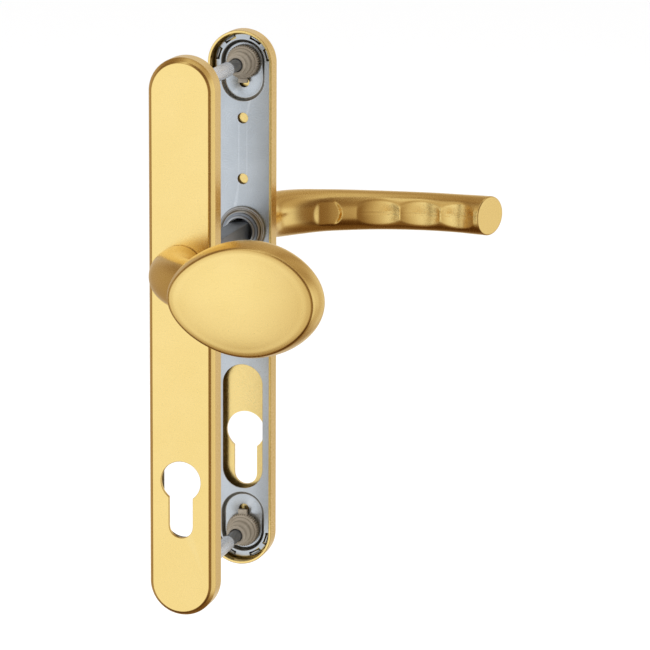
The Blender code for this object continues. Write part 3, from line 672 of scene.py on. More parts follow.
@dataclass
class CoverPlate:
    """The thin shell of one plate, with a stepped rim, a hollow back and its cut-outs.

    Args:
        sizes: the plate's sizes.
        side: the face of the door.
        centre_hole: radius of the hole round the spindle's axis.
        bolt_holes: whether the bolts' countersunk holes go through it.
        rim: its edge as (inset, below the face).
        softness: how far its edges are rounded.
        pads: heights of the pads that back the pan's spare holes.
        pad_radius: of a pad.
        pad_top: where a pad ends, along w.
        pad_edge: how far a pad's rim is chamfered.
        head_radius: of a countersunk hole, at the face.
        countersink: the slope of its wall.
    """

    sizes: PlateSizes
    side: Side
    centre_hole: float
    bolt_holes: bool
    rim: tuple[Pair, ...] = ((2.75, 0.0), (2.1, 0.0), (1.25, 0.85), (0.36, 2.35),
                                            (0.0, 3.2))
    softness: float = 0.26
    pads: Pair = (49.5, 22.5)
    pad_radius: float = 3.4
    pad_top: float = 6.7
    pad_edge: float = 0.3
    head_radius: float = 4.9
    countersink: float = 0.826
    points: int = 128
    lock_points: int = 80

    def build(self, shop: Workshop) -> bpy.types.Object:
        """Build and dress the cover.

        Args:
            shop: the workshop.

        Returns:
            The piece.
        """
        sizes, skin = self.sizes, Skin()
        profile = [(inset, sizes.depth - below) for inset, below in self.rim]
        profile += [(0.0, 0.0), (sizes.wall, 0.0), (sizes.wall, sizes.cavity),
                    (sizes.wall + self.softness * 2, sizes.cavity)]
        face, floor = skin.levels(sizes.outline, eased(profile, self.softness), self.points)
        faces, floors = [face], [floor]
        for outline, slope, count, start in self.cut_outs():
            edge = self.softness / 2
            levels = [(-edge * 2, sizes.depth), (-edge, sizes.depth),
                      (-edge / 3, sizes.depth - edge / 3), (slope * edge, sizes.depth - edge),
                      (slope * sizes.face, sizes.cavity)]
            high, low = skin.levels(outline, levels, count, start)
            faces.append(high)
            floors.append(low)
        for height in self.pads:
            edge = self.pad_edge
            pad = [(-edge - 0.2, sizes.cavity), (-edge, sizes.cavity), (0.0, sizes.cavity - edge),
                   (0.0, self.pad_top + edge), (edge, self.pad_top), (edge + 0.2, self.pad_top)]
            foot, top = skin.levels(disc(self.pad_radius, height), pad, HOLE_POINTS)
            floors.append(foot)
            skin.fill(top)
        skin.fill(*faces)
        skin.fill(*floors)
        skin.settle()
        name = self.side.value + "_cover_plate"
        return shop.piece(name + "_shell", skin.bm, self.side, "anodised_gold", Body.FIXED, name)

    def cut_outs(self) -> list[tuple]:
        """Return each cut-out as its outline, its wall's slope, its points and its first step."""
        cuts = [(self.sizes.lock, 0.0, self.lock_points, 0.0),
                (disc(self.centre_hole), 0.0, HOLE_POINTS, 0.5)]
        if self.bolt_holes:
            cuts += [(disc(self.head_radius, height), self.countersink, HOLE_POINTS, 0.5)
                     for height in self.sizes.bolts]
        return cuts


@dataclass
class BasePlate:
    """The pressed steel pan inside a cover, seen from the door.

    Args:
        sizes: the plate's sizes.
        side: the face of the door.
        hub_hole: radius of the hole round the spindle's axis.
        bolt_hole: radius of the hole for a bush or a sleeve.
        bend: the pan's bent edge as (inset, behind the web).
        pocket_wall: a pocket's drawn wall as (inset, behind the web).
        pocket_radius: half a pocket's width.
        pocket_length: of a pocket, along the plate.
        notch_radius: of the hole for a bush's key tab.
        notch_offset: from the bolt to that hole.
        window_margin: the window past the sides of the lock's cut-out.
        window_above: its top above the lock's centre.
        window_below: its bottom below that.
        spare_holes: heights of the two small holes.
        clip_angles: where the spring clips stand round an end, in degrees.
        clip_half_angle: half the length of a clip's slot, in degrees.
        clip_band: the slot's inner and outer inset.
        clip_tab: a clip's thickness, length and height.
        play: between the pan and the cover's wall, past the usual gap.
        clip_front: where a clip starts, along w.
        clip_bevel: width of its soft edges.
    """

    sizes: PlateSizes
    side: Side
    hub_hole: float
    bolt_hole: float
    bend: tuple[Pair, ...] = (
        (2.4, 0.0), (2.2, 0.0), (0.95, 0.0), (0.8, 0.0), (0.45, 0.06), (0.2, 0.25), (0.05, 0.55),
        (0.0, 1.0), (0.0, 4.4))
    pocket_wall: tuple[Pair, ...] = (
        (-0.12, 0.0), (0.0, 0.0), (0.18, 0.1), (0.35, 0.3), (1.0, 1.55), (1.2, 1.85),
        (1.45, 1.98), (1.7, 2.0), (1.85, 2.0))
    pocket_radius: float = 9.9
    pocket_length: float = 27.4
    notch_radius: float = 2.3
    notch_offset: float = 9.2
    window_margin: float = 0.4
    window_above: float = 31.0
    window_below: float = 25.55
    spare_holes: Pair = (49.5, 22.5)
    spare_radius: float = 2.35
    clip_angles: tuple[float, ...] = (18.0, 60.0, 120.0, 162.0)
    clip_half_angle: float = 14.0
    clip_band: Pair = (0.6, 2.2)
    clip_tab: Triple = (0.5, 4.2, 3.2)
    play: float = 0.18
    clip_front: float = 5.05
    clip_bevel: float = 0.14
    points: int = 256

    @property
    def outline(self) -> Stadium:
        """The pan's outline, inside the cover's walls."""
        sizes = self.sizes
        inset = sizes.wall + sizes.gap + self.play
        return Stadium(sizes.radius - inset, sizes.top - inset, sizes.bottom + inset)

    def build(self, shop: Workshop) -> bpy.types.Object:
        """Build and dress the pan.

        Args:
            shop: the workshop.

        Returns:
            The piece.
        """
        sizes, skin = self.sizes, Skin()
        bend = [(inset, sizes.web + behind) for inset, behind in self.bend]
        web, _ = skin.levels(self.outline, bend, self.points)
        loops = [web]
        for height, inwards in zip(sizes.bolts, (-1.0, 1.0)):
            loops.append(self.pocket(skin, height, inwards))
        radius = sizes.lock.radius + self.window_margin
        window = Stadium(radius, sizes.lock_centre + self.window_above,
                         sizes.lock_centre - self.window_below)
        lip = [(-0.25, sizes.web), (-0.1, sizes.web), (0.0, sizes.web + 0.08)]
        for hole in (window, disc(self.hub_hole),
                     *(disc(self.spare_radius, height) for height in self.spare_holes)):
            edge, _ = skin.levels(hole, lip, WINDOW_POINTS)
            loops.append(edge)
        skin.fill(*loops)
        self.cut_clips(skin)
        skin.settle()
        if sum(face.normal.z * face.calc_area() for face in skin.bm.faces) > 0:
            bmesh.ops.reverse_faces(skin.bm, faces=skin.bm.faces)
        bm = through_modifier(skin.bm, "SOLIDIFY", thickness=sizes.sheet, offset=-1.0)
        self.add_tabs(bm)
        name = self.side.value + "_base_plate"
        return shop.piece(name + "_pan", bm, self.side, "zinc_plated_steel", Body.FIXED, name)

    def pocket(self, skin: Skin, height: float, inwards: float) -> Loop:
        """Draw a pocket with its bolt's hole and key notch.

        Args:
            skin: the pan's mesh.
            height: of the bolt.
            inwards: 1 or -1, towards the plate's middle.

        Returns:
            The pocket's loop in the web.
        """
        web = self.sizes.web
        far = height + inwards * (self.pocket_length - self.pocket_radius)
        near = height - inwards * self.pocket_radius
        outline = Stadium(self.pocket_radius, max(near, far), min(near, far))
        wall = [(inset, web + behind) for inset, behind in self.pocket_wall]
        edge, floor = skin.levels(outline, wall, POCKET_POINTS)
        depth = web + self.pocket_wall[-1][1]
        lip = [(-0.15, depth), (0.0, depth + 0.06)]
        holes = [disc(self.bolt_hole, height),
                 disc(self.notch_radius, height + inwards * self.notch_offset)]
        loops = [skin.levels(hole, lip, HOLE_POINTS)[0] for hole in holes]
        skin.fill(floor, *loops)
        return edge

    def cut_clips(self, skin: Skin) -> None:
        """Cut the slot of each spring clip out of the bend at both ends."""
        outline, band = self.outline, self.clip_band
        for centre, sign in self.ends():
            gone = []
            for part in skin.bm.faces:
                middle = part.calc_center_median()
                angle = math.degrees(math.atan2((middle.y - centre) * sign, middle.x))
                inset = outline.radius - math.hypot(middle.x, middle.y - centre)
                away = min(abs(angle - clip) for clip in self.clip_angles)
                if band[0] < inset < band[1] and away < self.clip_half_angle:
                    gone.append(part)
            bmesh.ops.delete(skin.bm, geom=gone, context="FACES")

    def ends(self) -> tuple[Pair, Pair]:
        """Return the centre height of each round end and which way it points."""
        outline = self.outline
        return (outline.top - outline.radius, 1.0), (outline.bottom + outline.radius, -1.0)

    def add_tabs(self, bm: bmesh.types.BMesh) -> None:
        """Stand a bright spring tab in each slot.

        Args:
            bm: the finished sheet.
        """
        reach = self.outline.radius - sum(self.clip_band) / 2 + 0.1
        height = self.clip_front + self.clip_tab[2] / 2
        outwards = Matrix.Translation((reach, 0.0, 0.0)) @ Matrix.Diagonal((*self.clip_tab, 1.0))
        edges = []
        for centre, sign in self.ends():
            for clip in self.clip_angles:
                turn = Matrix.Rotation(math.radians(clip * sign), 4, "Z")
                place = Matrix.Translation((0.0, centre, height)) @ turn @ outwards
                made = bmesh.ops.create_cube(bm, matrix=place)
                edges += {edge for vert in made["verts"] for edge in vert.link_edges}
        soften(bm, edges, self.clip_bevel, 2)


# ---------------------------------------------------------------- bolt-through fixings

@dataclass
class Bush:
    """A moulded bush: a knurled flange, a key tab and a stepped nose.

    Args:
        name: the CAD node that it stands for.
        side: the face of the door.
        height: of its bolt.
        inwards: 1 or -1, towards the plate's middle.
        bore: radius of its bore.
        back: how far it reaches behind its flange, along w.
    """

    name: str
    side: Side
    height: float
    inwards: float
    bore: float
    back: float
    wall: float = 1.3
    nose: float = 6.0
    flange: float = 7.5
    flange_front: float = 3.5
    flange_back: float = 6.7
    tooth: float = 0.6
    teeth: int = 44
    tab_width: float = 4.0
    tab_reach: float = 9.2
    tab_sunk: float = 1.0
    tab_root: float = 1.2

    def build(self, shop: Workshop) -> bpy.types.Object:
        """Build and dress the bush.

        Args:
            shop: the workshop.

        Returns:
            The piece.
        """
        skin, shank = Skin(), self.bore + self.wall
        profile = [(self.bore, self.back - 1.0), (self.bore, -self.nose), (shank, -self.nose),
                   (shank, -self.nose / 2), (shank + 0.9, -self.nose / 4), (shank + 0.9, 1.2),
                   (shank + 1.9, 2.2), (shank + 1.95, self.flange_front - 0.5),
                   (self.flange - 0.55, self.flange_front - 0.1),
                   (self.flange, self.flange_front + 0.35), (self.flange, self.flange_back - 0.35),
                   (self.flange - 0.55, self.flange_back), (shank, self.flange_back)]
        if self.back > self.flange_back:
            profile += [(shank, self.back)]
        profile += [(self.bore, self.back), (self.bore, self.back - 0.9)]
        places = [self.knurled(radius, along) for radius, along in eased(profile, 0.28)]
        first = skin.ring(places[0], self.teeth * 6)
        skin.join(first, skin.grow(first, *places[1:]))
        self.tab(skin)
        skin.settle()
        return shop.piece(self.name + "_moulding", skin.bm, self.side, "taupe_nylon", Body.FIXED,
                          self.name)

    def knurled(self, radius: float, along: float) -> Place:
        """Return the place of a ring, toothed where it is as wide as the flange."""
        depth = self.tooth * min(max((radius - self.flange + 0.6) / 0.5, 0.0), 1.0)

        def place(share: float) -> Vector:
            """Return one point of the ring."""
            tooth = 0.5 - 0.5 * math.cos(math.tau * self.teeth * share)
            reach = radius - depth * tooth
            angle = math.tau * share
            return Vector((reach * math.cos(angle), self.height + reach * math.sin(angle), along))

        return place

    def tab(self, skin: Skin) -> None:
        """Add the key tab that drops into the pocket's notch."""
        low, high = self.flange_front + self.tab_sunk, self.flange_back - 0.2
        root = self.flange - self.tab_root
        middle = Vector((0.0, self.height + self.inwards * (self.tab_reach + root) / 2,
                         (low + high) / 2))
        size = (self.tab_width, self.tab_reach - root, high - low)
        skin.block(Matrix.LocRotScale(middle, None, size), 0.25, 3)


@dataclass
class Fixings:
    """The sleeves, bolts and bushes that clamp the plates to the door.

    Args:
        sizes: the plates' sizes.
        door: the door's thickness.
    """

    sizes: PlateSizes
    door: float
    sleeve_radius: float = 3.2
    bolt_radius: float = 2.7
    exposed: float = 18.0
    head_radius: float = 4.6
    tip_radius: float = 2.0
    tip_length: float = 10.0
    thread_pitch: float = 0.7
    thread_depth: float = 0.3

    def build(self, shop: Workshop) -> None:
        """Build and dress every fixing.

        Args:
            shop: the workshop.
        """
        gap = self.sizes.gap
        for end, height, inwards in zip(("upper", "lower"), self.sizes.bolts, (-1.0, 1.0)):
            for side, radius, back in ((Side.OUTSIDE, self.sleeve_radius, 6.7),
                                       (Side.INSIDE, self.bolt_radius, 8.7)):
                Bush(f"{side.value}_{end}_bush", side, height, inwards, radius + gap,
                     back).build(shop)
            self.sleeve(shop, f"{end}_bolt_sleeve", height)
            self.bolt(shop, f"{end}_fixing_bolt", height)

    def sleeve(self, shop: Workshop, name: str, height: float) -> None:
        """Build one flanged sleeve with a round-edged end.

        Args:
            shop: the workshop.
            name: the CAD node that it stands for.
            height: of its axis.
        """
        end, radius = self.exposed - self.door, self.sleeve_radius
        bore = self.tip_radius + self.sizes.gap
        skin = Skin()
        profile = [(3.0, 9.4), (5.8, 9.4), (5.8, 8.5), (radius, 8.5), (radius, end + 0.9),
                   (radius - 0.35, end + 0.15), (radius - 0.7, end), (bore, end),
                   (bore, end + 13.0)]
        first, last = skin.turned(eased(profile, 0.5, 4), height, 64)
        skin.fill(first)
        skin.fill(last)
        skin.settle()
        shop.piece(name + "_turned", skin.bm, Side.OUTSIDE, "bright_steel", Body.FIXED, name)

    def bolt(self, shop: Workshop, name: str, height: float) -> None:
        """Build one countersunk bolt with a cross drive and a threaded tip.

        Args:
            shop: the workshop.
            name: the CAD node that it stands for.
            height: of its axis.
        """
        top, gap = self.sizes.depth - 0.1, self.sizes.gap
        shoulder = gap - self.exposed
        skin = Skin()
        profile = [(3.4, top), (self.head_radius, top - 0.2), (self.bolt_radius, top - 2.3),
                   (self.bolt_radius, shoulder), (self.tip_radius, shoulder),
                   (self.tip_radius, shoulder - 0.4)]
        face, neck = skin.turned(eased(profile, 0.2), height, HOLE_POINTS)
        tip = shoulder - self.tip_length
        rings = [self.thread(height, shoulder - 0.5 - step * self.thread_pitch / 6, shoulder, tip)
                 for step in range(math.floor((self.tip_length - 0.6) * 6 / self.thread_pitch))]
        end = skin.grow(neck, *rings)
        point = disc(self.tip_radius - 0.6, height)
        skin.fill(skin.grow(end, lambda share: point.at(share, 0.0, tip)))
        cross = Cross(2.5, 0.5, height)
        recess = [(-0.06, top), (0.0, top - 0.08), (0.05, top - 1.1)]
        edge, floor = skin.levels(cross, recess, 12, 0.0)
        skin.fill(face, edge)
        skin.fill(floor)
        skin.settle()
        shop.piece(name + "_turned", skin.bm, Side.INSIDE, "dark_steel", Body.FIXED, name)

    def thread(self, height: float, along: float, start: float, end: float) -> Place:
        """Return the place of one ring of the thread.

        Args:
            height: of the bolt's axis.
            along: the ring's place along w.
            start: where the thread begins.
            end: the bolt's end.

        Returns:
            What gives the ring's points.
        """
        fade = min(1.0, (start - along) / 1.5, (along - end) / 1.5)

        def place(share: float) -> Vector:
            """Return one point of the ring, on a single-start helix."""
            turn = (along / self.thread_pitch + share) % 1.0
            groove = abs(2 * turn - 1)
            reach = self.tip_radius - self.thread_depth * max(fade, 0.0) * groove
            return disc(reach, height).at(share, 0.0, along)

        return place


# ---------------------------------------------------------------- spindle and spring cassette

@dataclass(frozen=True)
class SoftSquare:
    """A square outline with round corners, about the spindle's axis.

    Args:
        half: half its side.
        corner: radius of its corners.
    """

    half: float
    corner: float

    def at(self, share: float, inset: float = 0.0, height: float = 0.0) -> Vector:
        """Return a point of the outline.

        Args:
            share: how far round the outline, from 0 to 1.
            inset: how far inside the outline.
            height: its place along w.

        Returns:
            The point in the side's frame.
        """
        angle, straight = math.tau * share, self.half - self.corner
        radius = self.corner - inset
        across, up = math.cos(angle), math.sin(angle)
        return Vector((math.copysign(straight, across) + radius * across,
                       math.copysign(straight, up) + radius * up, height))


@dataclass
class Cassette:
    """The spring housing, the turning hub in it, the spindle and the lever's bearing.

    Args:
        sizes: the plates' sizes.
        hub: the hub's radius.
        spindle: half the spindle's side.
    """

    sizes: PlateSizes
    hub: float = 6.9
    spindle: float = 4.0
    play: float = 0.35
    housing_wall: float = 1.3
    flange_width: float = 1.9
    flange: Pair = (3.4, 4.7)
    front: float = 1.6
    back: float = 9.4
    nose: float = -0.9
    recess_floor: float = 6.6
    spindle_bevel: float = 0.5
    bearing_radii: Triple = (8.1, 8.9, 10.4)
    bearing_proud: float = 1.1

    def build(self, shop: Workshop) -> None:
        """Build and dress every piece of the cassette.

        Args:
            shop: the workshop.
        """
        self.housing(shop)
        self.turning_hub(shop)
        self.bar(shop)
        self.bearing(shop)

    def closed(self, shop: Workshop, name: str, profile: Profile, slot: str, body: Body) -> None:
        """Turn a closed profile into a piece that stands for a CAD node."""
        skin = Skin()
        first, last = skin.turned(eased(profile, 0.3), 0.0, RING_POINTS)
        skin.join(first, last)
        skin.settle()
        shop.piece(name + "_turned", skin.bm, Side.INSIDE, slot, body, name)

    def housing(self, shop: Workshop) -> None:
        """Build the stepped housing that holds the spring."""
        bore = self.hub + self.sizes.gap
        wall = bore + self.housing_wall
        rim, (low, high) = wall + self.flange_width, self.flange
        profile = [(bore, self.back - 2), (bore, self.back), (wall, self.back), (wall, high),
                   (rim, high), (rim, low + 0.25), (rim - 0.3, low), (rim - 0.75, low),
                   (rim - 0.95, low - 0.3), (wall + 0.5, low - 0.4),
                   (wall + 0.5, self.front + 0.6),
                   (wall - 0.2, self.front), (bore + 0.3, self.front), (bore, self.front + 0.3),
                   (bore, self.back - 2.1)]
        self.closed(shop, "spring_housing", profile, "cast_zinc", Body.FIXED)

    def turning_hub(self, shop: Workshop) -> None:
        """Build the hub, grooved for its ring, recessed in front and bored square."""
        skin, radius = Skin(), self.hub
        profile = [(radius - 1.0, self.back), (radius, self.back), (radius, 0.9),
                   (radius - 0.7, 0.9), (radius - 0.7, -0.3), (radius, -0.3), (radius, self.nose),
                   (radius - 1.05, self.nose), (radius - 1.05, self.recess_floor),
                   (radius - 1.2, self.recess_floor)]
        rear, floor = skin.turned(eased(profile, 0.2), 0.0, RING_POINTS)
        bore = SoftSquare(self.spindle + self.play, SQUARE_CORNER)
        high, low = skin.levels(bore, [(0.0, self.recess_floor), (0.0, self.back)], HOLE_POINTS)
        skin.fill(floor, high)
        skin.fill(rear, low)
        skin.settle()
        shop.piece("drive_hub_turned", skin.bm, Side.INSIDE, "cast_zinc", Body.LEVER, "drive_hub")

    def bar(self, shop: Workshop) -> None:
        """Build the square spindle with its bevelled corners."""
        low, high = (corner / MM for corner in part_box("square_spindle"))
        size = high - low
        door_face = -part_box("outside_cover_plate")[1].y / MM
        middle = Vector((0.0, 0.0, (low.y + high.y) / 2 - door_face))
        bm = bmesh.new()
        scale = Vector((size.x, size.z, size.y))
        bmesh.ops.create_cube(bm, size=1.0, matrix=Matrix.LocRotScale(middle, None, scale))
        soften(bm, bm.edges, self.spindle_bevel, 4)
        shop.piece("square_spindle_bar", bm, Side.INSIDE, "dark_steel", Body.LEVER,
                   "square_spindle")

    def bearing(self, shop: Workshop) -> None:
        """Build the flanged bearing that the lever's spigot turns in."""
        bore, wall, rim = self.bearing_radii
        low, flange = self.sizes.cavity, self.sizes.depth + self.sizes.gap
        high = self.sizes.depth + self.bearing_proud
        profile = [(bore, low + 1.0), (bore, low), (wall, low), (wall, flange), (rim, flange),
                   (rim, high), (bore, high), (bore, low + 1.1)]
        self.closed(shop, "lever_bearing", profile, "taupe_nylon", Body.FIXED)


# ---------------------------------------------------------------- knob and lever

def swept(stations: Sequence[Vector]) -> list[Place]:
    """Return the rings of a round bar that bends in the plane of u and w.

    Args:
        stations: the bar's centre line and radius as (u, w, radius).

    Returns:
        What gives the points of each ring.
    """
    places = []
    for index, station in enumerate(stations):
        before, after = stations[max(index - 1, 0)], stations[min(index + 1, len(stations) - 1)]
        tangent = Vector((after.x - before.x, 0.0, after.y - before.y)).normalized()
        across = Vector((0.0, 1.0, 0.0)).cross(tangent)

        def place(share: float, at=station, n=across) -> Vector:
            """Return one point of the ring."""
            angle = math.tau * share
            round_about = math.cos(angle) * n + Vector((0.0, math.sin(angle), 0.0))
            return Vector((at.x, 0.0, at.y)) + at.z * round_about

        places.append(place)
    return places


@dataclass
class Knob:
    """The fixed knob: a neck with an elbow that runs into an egg-shaped head.

    Args:
        offset: from the spindle's axis to the head's centre.
        head: half its length and half its height.
        lift: how far the head's middle is above the axis.
        crown: the head's highest point along w.
        skew: height gained towards the head's far end, as a share.
        pinch: height lost at both ends, as a share.
        section: the head's half section as (scale, behind the crown).
        neck: the neck's centre line and radius as (u, w, radius).
        voxel: the grid that melts neck and head into one.
        blend: how wide the melted corner is.
        head_points: round a ring of the head.
        neck_points: round a ring of the neck.
        smoothings: how often the melted corner is smoothed.
    """

    offset: float = 44.6
    head: Pair = (32.8, 24.0)
    lift: float = 0.5
    crown: float = 77.5
    skew: float = 0.07
    pinch: float = 0.10
    section: tuple[Pair, ...] = (
        (0.02, 0.0), (0.2, 0.12), (0.4, 0.5), (0.6, 1.15), (0.78, 2.0), (0.885, 2.62),
        (0.913, 2.9), (0.929, 3.35), (0.939, 4.0), (0.957, 5.6), (0.976, 7.5), (0.991, 9.6),
        (0.999, 11.3), (1.0, 12.2), (0.993, 13.5), (0.968, 15.0), (0.92, 16.5), (0.84, 17.9),
        (0.72, 19.0), (0.56, 19.7), (0.4, 19.95), (0.3, 20.0))
    neck: tuple[Triple, ...] = (
        (0.0, 11.6, 10.0), (0.0, 16.5, 10.0), (0.7, 23.0, 10.0), (3.2, 31.0, 10.1),
        (8.0, 39.0, 10.4), (14.6, 46.6, 10.8), (22.0, 53.6, 10.9), (29.6, 59.8, 9.5),
        (37.0, 64.6, 6.0))
    head_points: int = 224
    neck_points: int = 128
    smoothings: int = 30
    voxel: float = 0.45
    blend: Pair = (0.6, 4.6)

    def egg(self, scale: float, height: float) -> Place:
        """Return the place of one ring of the head."""

        def place(share: float) -> Vector:
            """Return one point of the ring."""
            angle = math.tau * share
            along, across = math.cos(angle), math.sin(angle)
            slimming = 1.0 + self.skew * along - self.pinch * along**2
            return Vector((self.offset + scale * self.head[0] * along,
                           self.lift + scale * self.head[1] * across * slimming, height))

        return place

    def head_skin(self) -> Skin:
        """Return the head as a closed skin."""
        skin = Skin()
        length = self.head[0]
        knots = [Vector((scale * length, behind)) for scale, behind in self.section]
        rings = [self.egg(point.x / length, self.crown - point.y)
                 for point in curve_through(knots, 5)]
        first = skin.ring(rings[0], self.head_points)
        last = skin.grow(first, *rings[1:])
        skin.fill(first)
        skin.fill(last)
        skin.settle()
        return skin

    def neck_skin(self) -> Skin:
        """Return the neck as a closed skin with a small round at its foot."""
        skin = Skin()
        stations = curve_through([Vector(station) for station in self.neck], 8)
        foot = stations[0]
        rings = swept([foot - Vector((0.0, 0.0, 0.3)), foot + Vector((0.0, 0.1, -0.08)),
                       foot + Vector((0.0, 0.3, 0.0)), *stations[1:]])
        first = skin.ring(rings[0], self.neck_points)
        last = skin.grow(first, *rings[1:])
        skin.fill(first)
        skin.fill(last)
        skin.settle()
        return skin

    def build(self, shop: Workshop) -> bpy.types.Object:
        """Melt neck and head together, then draw all but the corner back to the true shapes.

        Args:
            shop: the workshop.

        Returns:
            The piece.
        """
        head, neck = self.head_skin().bm, self.neck_skin().bm
        trees = [BVHTree.FromBMesh(part) for part in (head, neck)]
        both = bmesh.new()
        for part in (head, neck):
            mesh = bpy.data.meshes.new("part")
            part.to_mesh(mesh)
            part.free()
            both.from_mesh(mesh)
            bpy.data.meshes.remove(mesh)
        bm = through_modifier(both, "REMESH", mode="VOXEL", voxel_size=self.voxel)
        near, far = self.blend
        corner = []
        for vert in bm.verts:
            found = sorted((tree.find_nearest(vert.co) for tree in trees), key=lambda hit: hit[3])
            share = min(max((found[1][3] - near) / (far - near), 0.0), 1.0)
            share = share * share * (3 - 2 * share)
            vert.co = vert.co.lerp(found[0][0], share)
            if share < 1.0:
                corner.append(vert)
        for _ in range(self.smoothings):
            bmesh.ops.smooth_vert(bm, verts=corner, factor=0.5, use_axis_x=True, use_axis_y=True,
                                  use_axis_z=True)
        bmesh.ops.recalc_face_normals(bm, faces=bm.faces)
        return shop.piece("knob_turned", bm, Side.OUTSIDE, "anodised_gold", Body.FIXED, "knob")


@dataclass
class Lever:
    """The lever: a spigot and neck on the spindle, an elbow, and a bowed grip with a cut end.

    Args:
        sizes: the plates' sizes.
        line: the grip's centre line and radius as (reach, w, radius).
        end_tilt: how far the end's face leans towards the door, in degrees.
        end_run: how far from the end the rings start to lean.
        end_edge: radius of the end's edge.
        scallops: the finger rests' middles and half lengths, along the reach.
        scallop_depth: how far they are pressed in.
        scallop_tilt: their turn about the grip, in radians.
        scallop_soft: how wide their edge is.
        scallop_curve: how fast they deepen from their ends.
        crease: depth of the groove along their middle.
        crease_width: half that groove's width, in radians.
        pad: the thumb pad's start and end, along the reach.
        pad_curve: how far its end is bowed.
        spigot: radius of the part inside the plate.
        bore: half the square bore's side.
        bore_end: how deep it goes, along w.
        steps: rings between two knots of the line.
        points: round each ring.
    """

    sizes: PlateSizes
    line: tuple[Triple, ...] = (
        (0.0, 12.5, 9.3), (0.0, 20.0, 9.3), (0.0, 28.0, 9.3), (1.0, 36.0, 9.6),
        (4.4, 44.4, 10.2), (11.5, 52.8, 10.1), (21.5, 59.6, 9.5), (32.0, 63.9, 9.15),
        (44.0, 67.3, 8.8), (58.0, 69.7, 8.6), (71.5, 70.5, 8.55), (84.0, 69.6, 8.6),
        (91.5, 68.6, 8.75), (96.6, 67.8, 8.8))
    end_tilt: float = 24.0
    end_run: float = 14.0
    end_edge: float = 0.7
    scallops: tuple[Pair, ...] = ((46.0, 10.0), (66.0, 10.2), (85.5, 9.4))
    scallop_depth: float = 1.45
    scallop_tilt: float = 0.14
    scallop_soft: float = 0.45
    scallop_curve: float = 0.7
    crease: float = 0.3
    crease_width: float = 0.045
    pad: Pair = (14.0, 29.0)
    pad_curve: float = 7.0
    spigot: float = 7.8
    bore: float = 4.35
    bore_end: float = 30.6
    steps: int = 22
    points: int = 144

    def build(self, shop: Workshop) -> bpy.types.Object:
        """Build and dress the lever.

        Args:
            shop: the workshop.

        Returns:
            The piece.
        """
        skin = Skin()
        start, cavity = self.line[0], self.sizes.cavity
        stations = curve_through([Vector(station) for station in self.line], self.steps)
        stations = [Vector((-point.x, point.y, point.z)) for point in stations]
        profile = [(self.spigot - 0.8, cavity), (self.spigot, cavity),
                   (self.spigot, start[1] - 0.4), (start[2], start[1] - 0.4),
                   (start[2], start[1] + 0.6)]
        turned = [lambda share, r=radius, w=along: disc(r).at(share, 0.0, w)
                  for radius, along in eased(profile, 0.25)]
        first = skin.ring(turned[0], self.points)
        grip = [self.shaped(place, station) for place, station in zip(swept(stations), stations)]
        last = skin.grow(first, *turned[1:], *grip[2:])
        skin.fill(self.cut_end(skin, last, stations[-1]))
        square = SoftSquare(self.bore, SQUARE_CORNER)
        mouth, end = skin.levels(square, [(0.0, cavity), (0.0, self.bore_end)], HOLE_POINTS)
        skin.fill(first, mouth)
        skin.fill(end)
        skin.settle()
        return shop.piece("lever_handle_formed", skin.bm, Side.INSIDE, "anodised_gold", Body.LEVER,
                          "lever_handle")

    def end_normal(self) -> Vector:
        """Return the direction that the end's face looks in."""
        tilt = math.radians(self.end_tilt)
        return Vector((-math.cos(tilt), 0.0, -math.sin(tilt)))

    def shaped(self, place: Place, station: Vector) -> Place:
        """Press the finger rests into a ring and lean it towards the cut end.

        Args:
            place: the round ring.
            station: its middle and radius as (u, w, radius).

        Returns:
            The place of the shaped ring.
        """
        middle = Vector((station.x, 0.0, station.y))
        reach, tip = -station.x, self.line[-1][0]
        lean = min(max((reach - tip + self.end_run) / self.end_run, 0.0), 1.0)
        lean = lean * lean * (3 - 2 * lean)
        press = sum(max(0.0, 1.0 - ((reach - at) / half) ** 2) ** self.scallop_curve
                    for at, half in self.scallops)

        def shaped_place(share: float) -> Vector:
            """Return one point of the shaped ring."""
            spoke = place(share) - middle
            sideways = math.hypot(spoke.x, spoke.z)
            facing = math.cos(math.tau * share) < 0
            away = math.atan2(abs(spoke.y), sideways if facing else -sideways)
            depth = self.scallop_depth * max(press, self.thumb_pad(reach, away))
            tilt = self.scallop_tilt * min(press, 1.0)
            flat = (station.z - depth) / max(math.cos(away - tilt), 0.2)
            soft = math.hypot(flat - station.z, self.scallop_soft)
            size = (flat + station.z - soft) / 2 + self.scallop_soft / 8
            crease = self.crease * min(press, 1.0) * math.exp(-(away / self.crease_width) ** 2)
            spoke *= (size - crease) / station.z
            normal = self.end_normal()
            along = Vector((-1.0, 0.0, 0.0))
            slide = -spoke.dot(normal) / along.dot(normal)
            return middle + spoke + along * slide * lean

        return shaped_place

    def thumb_pad(self, reach: float, away: float) -> float:
        """Return how far the pad behind the elbow is pressed, up to its curved edge.

        Args:
            reach: of the ring.
            away: angle from the line that faces the door.

        Returns:
            From 0 for none to 1.
        """
        low, high = self.pad
        edge = reach + self.pad_curve * away**2
        inner = min(max((reach - low) / 5.0, 0.0), 1.0)
        outer = min(max((high - edge) / 1.1, 0.0), 1.0)
        return inner * inner * (3 - 2 * inner) * outer * outer * (3 - 2 * outer)

    def cut_end(self, skin: Skin, last: Loop, station: Vector) -> Loop:
        """Round the end's edge and return the loop of its flat face."""
        middle = Vector((station.x, 0.0, station.y))
        round_place = self.shaped(swept([station, station - Vector((1.0, 0.12, 0.0))])[0], station)
        places = []
        for step in range(1, 6):
            angle = math.pi / 2 * min(step, 4) / 4
            inset = self.end_edge * (1 - math.cos(angle)) + (0.25 if step == 5 else 0.0)
            forward = self.end_edge * math.sin(angle)

